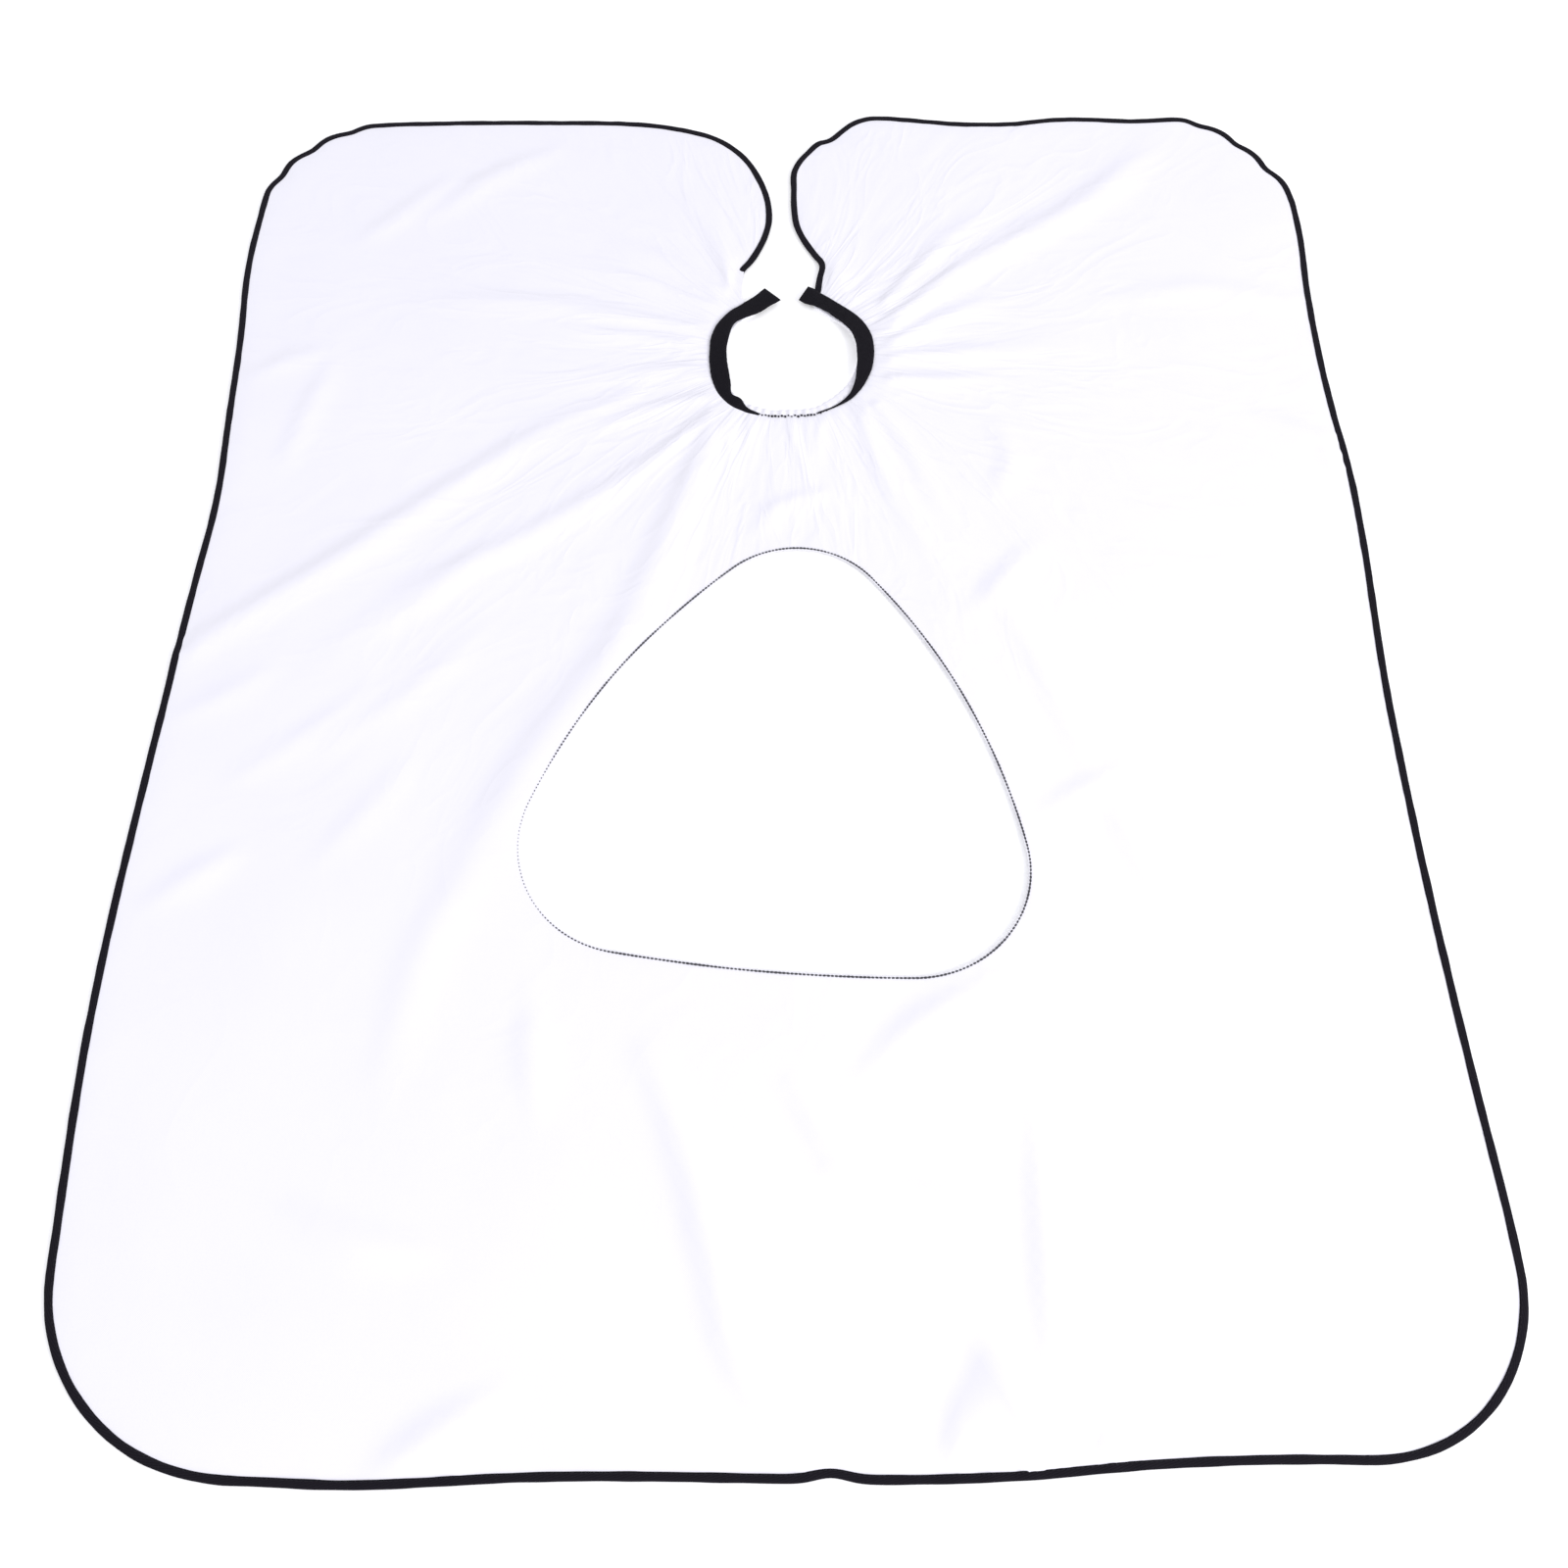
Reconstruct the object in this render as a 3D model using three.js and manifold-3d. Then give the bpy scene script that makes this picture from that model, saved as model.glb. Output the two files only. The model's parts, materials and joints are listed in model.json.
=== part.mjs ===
// A barber cape lying flat: a light fabric panel bound in black tape, slit at the back up to a gathered
// neckband that closes with hook and loop tape, with a clear window in front of the wearer.
// Millimetres. X runs across the cape, +Y towards the slit at the back of the neck, +Z up from the floor.
import * as THREE from "three";
import { mergeVertices } from "three/addons/utils/BufferGeometryUtils.js";
import Module from "manifold-3d";

const wasm = await Module();
wasm.setup();

// ---- Driving dimensions ----

const GAP = 0.3; // clearance between pieces that lie on or against each other
const ARC_STEPS = 10; // straight facets to an eighth of a turn on the round outlines
const SAME_POINT = 0.01; // outline points nearer than this are one point

const CAPE = {
  width: 1000,
  length: 1250,
  thickness: 1,
  leftHemCorner: 150, // corner radii, as the cape lies
  rightHemCorner: 126,
  wingCorner: 118, // the two outer corners at the back
  leftSlitCorner: { across: 150, along: 105 }, // the left wing turns into the slit on a quarter ellipse
  rightSlitCorner: { across: 86, along: 86 },
};

const SLIT = {
  x: 7, // middle of the slit, as the cape lies
  gap: 26,
  neckGap: 76, // the slit flares to this width at the neck
  flareStart: 138, // distance in from the back edge at which the flare starts
  flareLength: 60,
};

const FOLD_BELOW_WINDOW = 27.8; // the skirt folds up along a line this far below the window's film

const BINDING = { width: 6, wall: 0.8, threadInset: 4.8 };
const THREAD = { width: 0.6, height: 0.5 };

const NECK = {
  x: 14, // middle of the neck opening, as the cape lies
  fromBack: 302, // distance of that middle from the back edge
  innerRadius: 61,
  elasticWidth: 12,
  elasticHeight: 1,
  casingWall: 0.8,
  seamInset: 0.8, // seam line's distance into the panel from the band
  elasticStop: 1, // degrees by which the elastic stops short of each end of the band
  seamStop: 4, // degrees by which the seam does
};

const TAPE = {
  width: 16,
  height: 1.6,
  overhang: 2, // how far the tape's outer edge passes the band
  endWidth: 2.6, // width of the narrow front end
  stitchInset: 2.2,
};
// Free length past the neckband, then degrees round the neck from +X: the tape keeps its full width up to
// the taper, is narrow from there on, and ends at the front.
const HOOK = { free: 27, taper: 216, narrow: 238, front: 243 };
const LOOP = { free: 17, taper: -8, narrow: -38, front: -58 };

const WINDOW = {
  x: -6.6, // middle of the line between the two lower corner circles
  belowNeck: 507.5, // from the middle of the neck opening down to that line
  tilt: -5.7, // degrees the window is turned, as the cape lies
  cornerSpread: 215.4, // between the middles of the two lower corner circles
  cornerRise: 207.7, // from that line up to the middle of the top corner circle
  topRadius: 82,
  lowerRadius: 92,
  sideBow: 551, // radius of the two bowed sides
  lowerBow: 1337, // radius of the bowed lower edge
  overlap: 10, // film sewn under the panel
  filmHeight: 0.8,
  seamInset: 1.3,
};

// ---- Levels and places that follow from the sizes ----

const PANEL_BOTTOM = BINDING.wall + GAP;
const PANEL_TOP = PANEL_BOTTOM + CAPE.thickness;
const BINDING_TOP = PANEL_TOP + GAP + BINDING.wall;
const ELASTIC_BOTTOM = NECK.casingWall + GAP;
const CASING_TOP = ELASTIC_BOTTOM + NECK.elasticHeight + GAP + NECK.casingWall;
const TAPE_BOTTOM = Math.max(CASING_TOP, PANEL_TOP + GAP + THREAD.height) + GAP;
const TAPE_TOP = TAPE_BOTTOM + TAPE.height;

// Cutting tools reach past what they cut: up and down in millimetres, and along the band in degrees.
const CUTTER_HEIGHT = 4 * TAPE_TOP;
const CUT_PAST = 1;
const CUT_PAST_BAND = 3;

const HEM_Y = -CAPE.length / 2;
const BACK_Y = CAPE.length / 2;
const NECK_CENTRE = new THREE.Vector2(NECK.x, BACK_Y - NECK.fromBack);
const CASING_OUTER = NECK.innerRadius + NECK.elasticWidth + 2 * (NECK.casingWall + GAP);
const TAPE_OUTER = CASING_OUTER + TAPE.overhang;

// ---- Outlines ----

const radians = THREE.MathUtils.degToRad;
const degrees = THREE.MathUtils.radToDeg;

function onCircle(centre, radius, angle) {
  return new THREE.Vector2(centre.x + radius * Math.cos(angle), centre.y + radius * Math.sin(angle));
}

// Where a slit edge at this x meets the neckband, on a circle just clear of the tape, as an angle.
function bandEnd(x) {
  return Math.acos((x - NECK_CENTRE.x) / (TAPE_OUTER + GAP));
}

function slitFoot(x) {
  return onCircle(NECK_CENTRE, TAPE_OUTER + GAP, bandEnd(x)).y;
}

// The bound edge, from the left of the neck round the cape to the right, with the fabric on its left.
function boundEdge() {
  const edge = new THREE.Path();
  const sides = CAPE.width / 2;
  const narrow = SLIT.gap / 2;
  const wide = SLIT.neckGap / 2;
  const flareTop = BACK_Y - SLIT.flareStart;
  const flareFoot = flareTop - SLIT.flareLength;
  const flareMiddle = (flareTop + flareFoot) / 2;
  const quarter = Math.PI / 2;
  const leftCorner = CAPE.leftSlitCorner;
  const rightCorner = CAPE.rightSlitCorner;
  const leftHem = CAPE.leftHemCorner;
  const rightHem = CAPE.rightHemCorner;
  const wing = CAPE.wingCorner;
  const left = SLIT.x - narrow;
  const right = SLIT.x + narrow;
  const leftFoot = SLIT.x - wide;
  const rightFoot = SLIT.x + wide;
  const turn = (x, y, across, along, start) => {
    edge.absellipse(x, y, across, along, start * quarter, (start + 1) * quarter, false, 0);
  };
  edge.moveTo(leftFoot, slitFoot(leftFoot));
  edge.lineTo(leftFoot, flareFoot);
  edge.bezierCurveTo(leftFoot, flareMiddle, left, flareMiddle, left, flareTop);
  turn(left - leftCorner.across, BACK_Y - leftCorner.along, leftCorner.across, leftCorner.along, 0);
  turn(-sides + wing, BACK_Y - wing, wing, wing, 1);
  turn(-sides + leftHem, HEM_Y + leftHem, leftHem, leftHem, 2);
  turn(sides - rightHem, HEM_Y + rightHem, rightHem, rightHem, 3);
  turn(sides - wing, BACK_Y - wing, wing, wing, 0);
  turn(right + rightCorner.across, BACK_Y - rightCorner.along, rightCorner.across, rightCorner.along, 1);
  edge.lineTo(right, flareTop);
  edge.bezierCurveTo(right, flareMiddle, rightFoot, flareMiddle, rightFoot, flareFoot);
  edge.lineTo(rightFoot, slitFoot(rightFoot));
  return withoutRepeats(edge.getPoints(ARC_STEPS));
}

function withoutRepeats(points) {
  return points.filter((point, i) => i === 0 || point.distanceTo(points[i - 1]) > SAME_POINT);
}

// The run of points moved sideways, to the left of its travel. A closed run joins end to start.
function shifted(points, distance, closed = false) {
  const count = points.length;
  const pick = (i) => (closed ? points[(i + count) % count] : points[i]);
  return points.map((point, i) => {
    const before = pick(i - 1);
    const after = pick(i + 1);
    const arriving = point.clone().sub(before ?? point);
    const leaving = (after ?? point).clone().sub(point);
    const one = leftOf(arriving.length() ? arriving : leaving);
    const other = leftOf(leaving.length() ? leaving : arriving);
    const middle = one.clone().add(other).normalize();
    return point.clone().addScaledVector(middle, distance / middle.dot(one));
  });
}

function leftOf(direction) {
  return new THREE.Vector2(-direction.y, direction.x).normalize();
}

// The middle of the large circle that holds two corner circles and touches both from outside.
function bowCentre(from, to, bow) {
  const line = to.middle.clone().sub(from.middle);
  const length = line.length();
  const reachFrom = bow - from.radius;
  const reachTo = bow - to.radius;
  const along = (reachFrom ** 2 - reachTo ** 2 + length ** 2) / (2 * length);
  const aside = Math.sqrt(reachFrom ** 2 - along ** 2);
  const unit = line.normalize();
  return from.middle.clone().addScaledVector(unit, along).addScaledVector(leftOf(unit), aside);
}

// The window's edge, counterclockwise: three corner arcs joined by three bowed sides.
function windowEdge() {
  const corners = [
    { middle: new THREE.Vector2(0, WINDOW.cornerRise), radius: WINDOW.topRadius },
    { middle: new THREE.Vector2(-WINDOW.cornerSpread / 2, 0), radius: WINDOW.lowerRadius },
    { middle: new THREE.Vector2(WINDOW.cornerSpread / 2, 0), radius: WINDOW.lowerRadius },
  ];
  const bows = [WINDOW.sideBow, WINDOW.lowerBow, WINDOW.sideBow];
  const centres = corners.map((corner, i) => bowCentre(corner, corners[(i + 1) % 3], bows[i]));
  const angleFrom = (centre, point) => point.clone().sub(centre).angle();
  const edge = new THREE.Path();
  corners.forEach((corner, i) => {
    const next = corners[(i + 1) % 3];
    const arriving = angleFrom(centres[(i + 2) % 3], corner.middle);
    const leaving = angleFrom(centres[i], corner.middle);
    edge.absarc(corner.middle.x, corner.middle.y, corner.radius, arriving, leaving);
    edge.absarc(centres[i].x, centres[i].y, bows[i], leaving, angleFrom(centres[i], next.middle));
  });
  const place = new THREE.Vector2(WINDOW.x, NECK_CENTRE.y - WINDOW.belowNeck);
  const origin = new THREE.Vector2(0, 0);
  const points = withoutRepeats(edge.getPoints(ARC_STEPS));
  if (points[0].distanceTo(points[points.length - 1]) < SAME_POINT) points.pop();
  return points.map((point) => point.rotateAround(origin, radians(WINDOW.tilt)).add(place));
}

// ---- Solids ----

function plate(points, bottom, height, hole = null) {
  const shape = new THREE.Shape(points);
  if (hole) shape.holes.push(new THREE.Path(hole));
  return new THREE.ExtrudeGeometry(shape, { depth: height, bevelEnabled: false }).translate(0, 0, bottom);
}

// A flat strip beside an open edge, between two distances into the fabric.
function strip(edge, near, far, bottom, height) {
  return plate([...shifted(edge, near), ...shifted(edge, far).reverse()], bottom, height);
}

// Part of a flat ring round the neck, between two angles in degrees. Its inner radius may be a function.
function sector(inner, outer, startAngle, endAngle, bottom, height) {
  const steps = Math.ceil(Math.abs(endAngle - startAngle) / (45 / ARC_STEPS));
  const step = (endAngle - startAngle) / steps;
  const angles = Array.from({ length: steps + 1 }, (_, i) => startAngle + step * i);
  const radiusAt = typeof inner === "function" ? inner : () => inner;
  const outside = angles.map((angle) => onCircle(NECK_CENTRE, outer, radians(angle)));
  const inside = angles.map((angle) => onCircle(NECK_CENTRE, radiusAt(angle), radians(angle)));
  return plate([...outside, ...inside.reverse()], bottom, height);
}

function box(minX, maxX, minY, maxY) {
  const geometry = new THREE.BoxGeometry(maxX - minX, maxY - minY, CUTTER_HEIGHT);
  return geometry.translate((minX + maxX) / 2, (minY + maxY) / 2, 0);
}

function solid(geometry) {
  geometry.deleteAttribute("normal");
  geometry.deleteAttribute("uv");
  const merged = mergeVertices(geometry, 1e-4);
  const mesh = new wasm.Mesh({
    numProp: 3,
    vertProperties: merged.getAttribute("position").array,
    triVerts: new Uint32Array(merged.index.array),
  });
  return new wasm.Manifold(mesh);
}

function geometryOf(shape) {
  const mesh = shape.getMesh();
  const geometry = new THREE.BufferGeometry();
  geometry.setAttribute("position", new THREE.BufferAttribute(mesh.vertProperties, 3));
  geometry.setIndex(new THREE.BufferAttribute(mesh.triVerts, 1));
  return geometry;
}

const LEFT_END = degrees(bandEnd(SLIT.x - SLIT.neckGap / 2));
const RIGHT_END = degrees(bandEnd(SLIT.x + SLIT.neckGap / 2));
const EDGE = boundEdge();
const WINDOW_EDGE = windowEdge();
const FILM_EDGE = shifted(WINDOW_EDGE, -WINDOW.overlap, true);
const FOLD_Y = Math.min(...FILM_EDGE.map((point) => point.y)) - FOLD_BELOW_WINDOW;

// ---- Regions that share out what the fold line and the cape's middle divide ----

const FAR = CAPE.width + CAPE.length;
const REGION = {
  upper: box(-FAR, FAR, FOLD_Y + GAP / 2, FAR),
  left: box(-FAR, SLIT.x, FOLD_Y + GAP / 2, FAR),
  right: box(SLIT.x, FAR, FOLD_Y + GAP / 2, FAR),
  lower: box(-FAR, FAR, -FAR, FOLD_Y - GAP / 2),
};

function within(shape, region) {
  return geometryOf(shape.intersect(solid(REGION[region].clone())));
}

// ---- Materials ----

const MATERIALS = {
  fabric: new THREE.MeshStandardMaterial({ color: 0xf8f7fd, roughness: 0.72, metalness: 0 }),
  binding: new THREE.MeshStandardMaterial({ color: 0x191620, roughness: 0.8, metalness: 0 }),
  darkThread: new THREE.MeshStandardMaterial({ color: 0x14121a, roughness: 0.7, metalness: 0 }),
  greyThread: new THREE.MeshStandardMaterial({ color: 0x86868c, roughness: 0.7, metalness: 0 }),
  elastic: new THREE.MeshStandardMaterial({ color: 0xefeff2, roughness: 0.85, metalness: 0 }),
  tape: new THREE.MeshStandardMaterial({ color: 0x17151d, roughness: 0.9, metalness: 0 }),
  film: new THREE.MeshStandardMaterial({
    color: 0xffffff,
    roughness: 0.08,
    metalness: 0,
    transparent: true,
    opacity: 0.25,
  }),
};

const cape = new THREE.Group();

function add(name, geometry, material) {
  const mesh = new THREE.Mesh(geometry, MATERIALS[material].clone());
  mesh.name = name;
  cape.add(mesh);
}

// ---- Panel ----

function addPanel() {
  const fabricEdge = shifted(EDGE, BINDING.wall + GAP);
  const holeRadius = CASING_OUTER + GAP;
  const neckHole = new THREE.CylinderGeometry(holeRadius, holeRadius, CUTTER_HEIGHT, 8 * ARC_STEPS);
  neckHole.rotateX(Math.PI / 2);
  neckHole.translate(NECK_CENTRE.x, NECK_CENTRE.y, 0);
  const ends = [fabricEdge[fabricEdge.length - 1], fabricEdge[0]];
  const intoNeck = ends.map((end) => new THREE.Vector2(end.x, NECK_CENTRE.y));
  const outline = [...fabricEdge, ...intoNeck];
  const sheet = solid(plate(outline, PANEL_BOTTOM, CAPE.thickness, WINDOW_EDGE)).subtract(solid(neckHole));
  add("cape_panel_upper", within(sheet, "upper"), "fabric");
  add("cape_panel_lower", within(sheet, "lower"), "fabric");
}

// ---- Edge binding, a tape folded over the fabric's edge, and the thread that holds it ----

function addBinding() {
  const under = solid(strip(EDGE, 0, BINDING.width, 0, BINDING.wall));
  const over = solid(strip(EDGE, 0, BINDING.width, BINDING_TOP - BINDING.wall, BINDING.wall));
  const turn = solid(strip(EDGE, 0, BINDING.wall, 0, BINDING_TOP));
  const channel = under.add(turn).add(over);
  const near = BINDING.threadInset - THREAD.width / 2;
  const thread = solid(strip(EDGE, near, near + THREAD.width, BINDING_TOP + GAP, THREAD.height));
  for (const region of ["left", "right", "lower"]) {
    add(`edge_binding_${region}`, within(channel, region), "binding");
    add(`edge_thread_${region}`, within(thread, region), "darkThread");
  }
}

// ---- Neckband: a fabric casing open at both ends, the elastic in it and its seam ----

function addNeckband() {
  const start = LEFT_END - 360;
  const end = RIGHT_END;
  const wall = NECK.casingWall;
  const inner = NECK.innerRadius;
  const cavityHeight = CASING_TOP - 2 * wall;
  const casing = solid(sector(inner, CASING_OUTER, start, end, 0, CASING_TOP));
  const channelEnds = [start - CUT_PAST_BAND, end + CUT_PAST_BAND];
  const channel = solid(sector(inner + wall, CASING_OUTER - wall, ...channelEnds, wall, cavityHeight));
  add("neck_casing", geometryOf(casing.subtract(channel)), "fabric");
  const elasticInner = inner + wall + GAP;
  const elasticOuter = elasticInner + NECK.elasticWidth;
  const elasticEnds = [start + NECK.elasticStop, end - NECK.elasticStop];
  const elastic = sector(elasticInner, elasticOuter, ...elasticEnds, ELASTIC_BOTTOM, NECK.elasticHeight);
  add("neck_elastic", elastic, "elastic");
  const seam = CASING_OUTER + GAP + NECK.seamInset;
  const seamEnds = [start + NECK.seamStop, end - NECK.seamStop];
  const thread = sector(seam, seam + THREAD.width, ...seamEnds, PANEL_TOP + GAP, THREAD.height);
  add("neck_seam_thread", thread, "greyThread");
}

// ---- Hook and loop tapes: each is sewn to the band, and its free end closes the neck behind ----

function addTape(name, run, end) {
  const outer = TAPE_OUTER;
  const direction = Math.sign(run.front - end);
  const tip = end - direction * degrees(run.free / (outer - TAPE.width / 2));
  const widthAt = (angle) => {
    const past = (angle - run.taper) * direction;
    const share = THREE.MathUtils.smoothstep(past, 0, Math.abs(run.narrow - run.taper));
    return THREE.MathUtils.lerp(TAPE.width, TAPE.endWidth, share);
  };
  const innerAt = (angle) => outer - widthAt(angle);
  const halfGap = degrees(GAP / 2 / (outer - TAPE.width)) * direction;
  const sewn = sector(innerAt, outer, end + halfGap, run.front, TAPE_BOTTOM, TAPE.height);
  const free = sector(innerAt, outer, tip, end - halfGap, TAPE_BOTTOM, TAPE.height);
  add(`${name}_tape`, sewn, "tape");
  add(`${name}_tape_end`, free, "tape");
  addTapeStitching(name, end, run.taper, direction);
}

// One line of thread round the sewn length of a tape.
function addTapeStitching(name, end, taper, direction) {
  const inset = TAPE.stitchInset;
  const along = degrees(inset / TAPE_OUTER) * direction;
  const line = degrees(THREAD.width / TAPE_OUTER) * direction;
  const low = TAPE_OUTER - TAPE.width + inset;
  const high = TAPE_OUTER - inset;
  const bottom = TAPE_TOP + GAP;
  const whole = solid(sector(low, high, end + along, taper - along, bottom, THREAD.height));
  const hollow = sector(
    low + THREAD.width,
    high - THREAD.width,
    end + along + line,
    taper - along - line,
    bottom - CUT_PAST,
    THREAD.height + 2 * CUT_PAST,
  );
  add(`${name}_tape_thread`, geometryOf(whole.subtract(solid(hollow))), "darkThread");
}

// ---- Clear window, sewn under the panel ----

function addWindow() {
  add("window_film", plate(FILM_EDGE, 0, WINDOW.filmHeight), "film");
  const inner = shifted(WINDOW_EDGE, -WINDOW.seamInset, true);
  const outer = shifted(WINDOW_EDGE, -WINDOW.seamInset - THREAD.width, true);
  add("window_thread", plate(outer, PANEL_TOP + GAP, THREAD.height, inner), "greyThread");
}

addPanel();
addBinding();
addNeckband();
addTape("hook", HOOK, LEFT_END);
addTape("loop", LOOP, RIGHT_END);
addWindow();

export default cape;
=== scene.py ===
import json
import math
from functools import cache

import bpy
import numpy as np
from bpy.props import FloatProperty, FloatVectorProperty, IntProperty, PointerProperty, StringProperty
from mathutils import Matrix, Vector, geometry


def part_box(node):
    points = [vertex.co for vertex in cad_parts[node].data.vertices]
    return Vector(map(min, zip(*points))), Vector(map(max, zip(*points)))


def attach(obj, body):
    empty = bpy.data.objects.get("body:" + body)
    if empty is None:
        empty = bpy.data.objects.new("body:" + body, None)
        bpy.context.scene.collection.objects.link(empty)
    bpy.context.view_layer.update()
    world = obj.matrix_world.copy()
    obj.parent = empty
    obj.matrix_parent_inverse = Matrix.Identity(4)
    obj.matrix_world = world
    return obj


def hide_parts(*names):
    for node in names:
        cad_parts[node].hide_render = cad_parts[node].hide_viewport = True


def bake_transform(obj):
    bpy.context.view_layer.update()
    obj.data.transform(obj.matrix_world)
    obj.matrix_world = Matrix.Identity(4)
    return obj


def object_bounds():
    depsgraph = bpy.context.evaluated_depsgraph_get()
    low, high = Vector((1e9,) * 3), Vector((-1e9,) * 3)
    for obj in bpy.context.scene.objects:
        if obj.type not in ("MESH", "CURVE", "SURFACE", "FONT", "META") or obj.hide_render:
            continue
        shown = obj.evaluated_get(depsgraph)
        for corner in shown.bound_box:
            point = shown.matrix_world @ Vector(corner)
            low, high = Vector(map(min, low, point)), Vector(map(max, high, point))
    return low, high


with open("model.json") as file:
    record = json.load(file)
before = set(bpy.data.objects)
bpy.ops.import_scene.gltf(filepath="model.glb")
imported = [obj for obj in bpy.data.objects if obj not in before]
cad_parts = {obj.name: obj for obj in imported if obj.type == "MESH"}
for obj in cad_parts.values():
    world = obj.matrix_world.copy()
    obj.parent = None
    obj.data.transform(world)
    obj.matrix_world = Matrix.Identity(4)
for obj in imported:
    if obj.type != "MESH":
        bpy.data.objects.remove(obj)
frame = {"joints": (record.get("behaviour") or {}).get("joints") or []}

bl_info = {
    "name": "Barber cape",
    "version": (1, 0, 0),
    "blender": (4, 5, 0),
    "location": "3D View > Sidebar > Cape",
    "description": "A light woven hair-cutting cape with a bound edge, a gathered neckband and a clear window",
    "category": "Object",
}

CAD_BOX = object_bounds()
MM = 0.001

# ---- Places that the frame gives ----

SIDE = CAD_BOX[1].x
BACK = CAD_BOX[1].y
HEM = CAD_BOX[0].y
CASING_LOW, CASING_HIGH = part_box("neck_casing")
NECK_RADIUS = (CASING_HIGH.x - CASING_LOW.x) / 2
NECK = np.array([(CASING_HIGH.x + CASING_LOW.x) / 2, CASING_LOW.y + NECK_RADIUS])
TAPE_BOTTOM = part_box("hook_tape")[0].z
JOINTS = {joint["name"]: joint for joint in frame["joints"]}

# ---- The cape's edge, in millimetres ----

LEFT_HEM_CORNER = 150
RIGHT_HEM_CORNER = 126
WING_CORNER = 118
CORNER_STEPS = 24
# The slit's two edges, in the order in which the edge is followed: up the left wing and down the right one.
SLIT_LEFT_LINE = (
    (-33, 385), (-32.5, 402), (-30, 417), (-21.5, 429.5), (-14.5, 443), (-7, 463), (-3, 482), (-3, 504),
    (-12, 542), (-29.5, 576), (-54, 599.5), (-85, 613), (-118, 621), (-156, 625),
)
SLIT_RIGHT_LINE = (
    (150, 625), (129, 628), (111, 630), (94, 629), (79, 622.5), (65, 609.5), (57, 600.5), (53, 597.5),
    (45, 595), (41, 592), (32, 581), (22, 566.5), (17, 553), (16, 528), (16, 502), (18.5, 478),
    (23.5, 462.5), (30.5, 448), (37, 436), (41.5, 428.5), (42, 425), (39.5, 411), (37, 393),
)

# How far the edge has crept out (+) or in (-) as the cape was laid down: x, y and distance.
EDGE_SWAYS = (
    (-156, 625, 0), (-290, 625, 1.5), (-425, 616, -1), (-470, 585, -2), (-499, 511, 2), (-500, 430, 4.5),
    (-500, 331, -2), (-500, 240, -6), (-500, 160, -9), (-500, 60, -4), (-500, -120, 4), (-500, -255, 8.5),
    (-500, -346, 8), (-500, -436, 4), (-499, -481, 1.5), (-491, -525, 3.5), (-437, -596, 4),
    (-353, -624, 3), (-285, -625, 6), (-172, -625, 2.5), (165, -625, 3.5), (233, -625, -1.5),
    (369, -625, -3.5), (453, -596, 2), (500, -475, 4.5), (500, -385, 1.5), (500, -249, -2), (500, -69, -2),
    (500, 156, 7), (500, 292, 3), (500, 382, 4.5), (500, 472, 9.5), (499, 517, 8), (486, 560, 0),
    (459, 596, 1), (420, 618, 4), (375, 625, -0.5), (285, 625, 1.5), (235, 625, -5), (195, 625, -5),
    (150, 625, 0),
)
HEM_DENT = (30, -625, -4, 14)  # x, y, how far and over what reach
# Corners where the binding draws the cloth into scallops: x, y, reach, length of a scallop, and depth.
SCALLOPS = (
    (-465, 590, 95, 46, 4.6),
    (465, 590, 95, 44, 4.2),
)

# The neckline's distance from the middle of the neck, round from the right end of the band to the left.
NECKLINE = (
    (66.4, 69.0), (45, 67.5), (26, 72.0), (5, 74.8), (-20, 76.0), (-40, 78.0), (-60, 79.2), (-75, 81.3),
    (-90, 80.2), (-105, 82.8), (-120, 84.5), (-135, 84.5), (-150, 80.0), (-165, 75.5), (-185, 73.0),
    (-209, 71.5), (-234.5, 68.0),
)

# ---- The window, in millimetres: three corner circles joined by bowed sides ----

WINDOW_PLACE = (-4.6, -187)
WINDOW_TILT = -5.7
WINDOW_SPREAD = 212
WINDOW_RISE = 204.5
WINDOW_TOP_RADIUS = 80.5
WINDOW_LOWER_RADIUS = 90.5
WINDOW_BOWS = (549.5, 1335.5, 549.5)
WINDOW_OVERLAP = 10

# ---- The soft shape of the cloth ----

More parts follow.
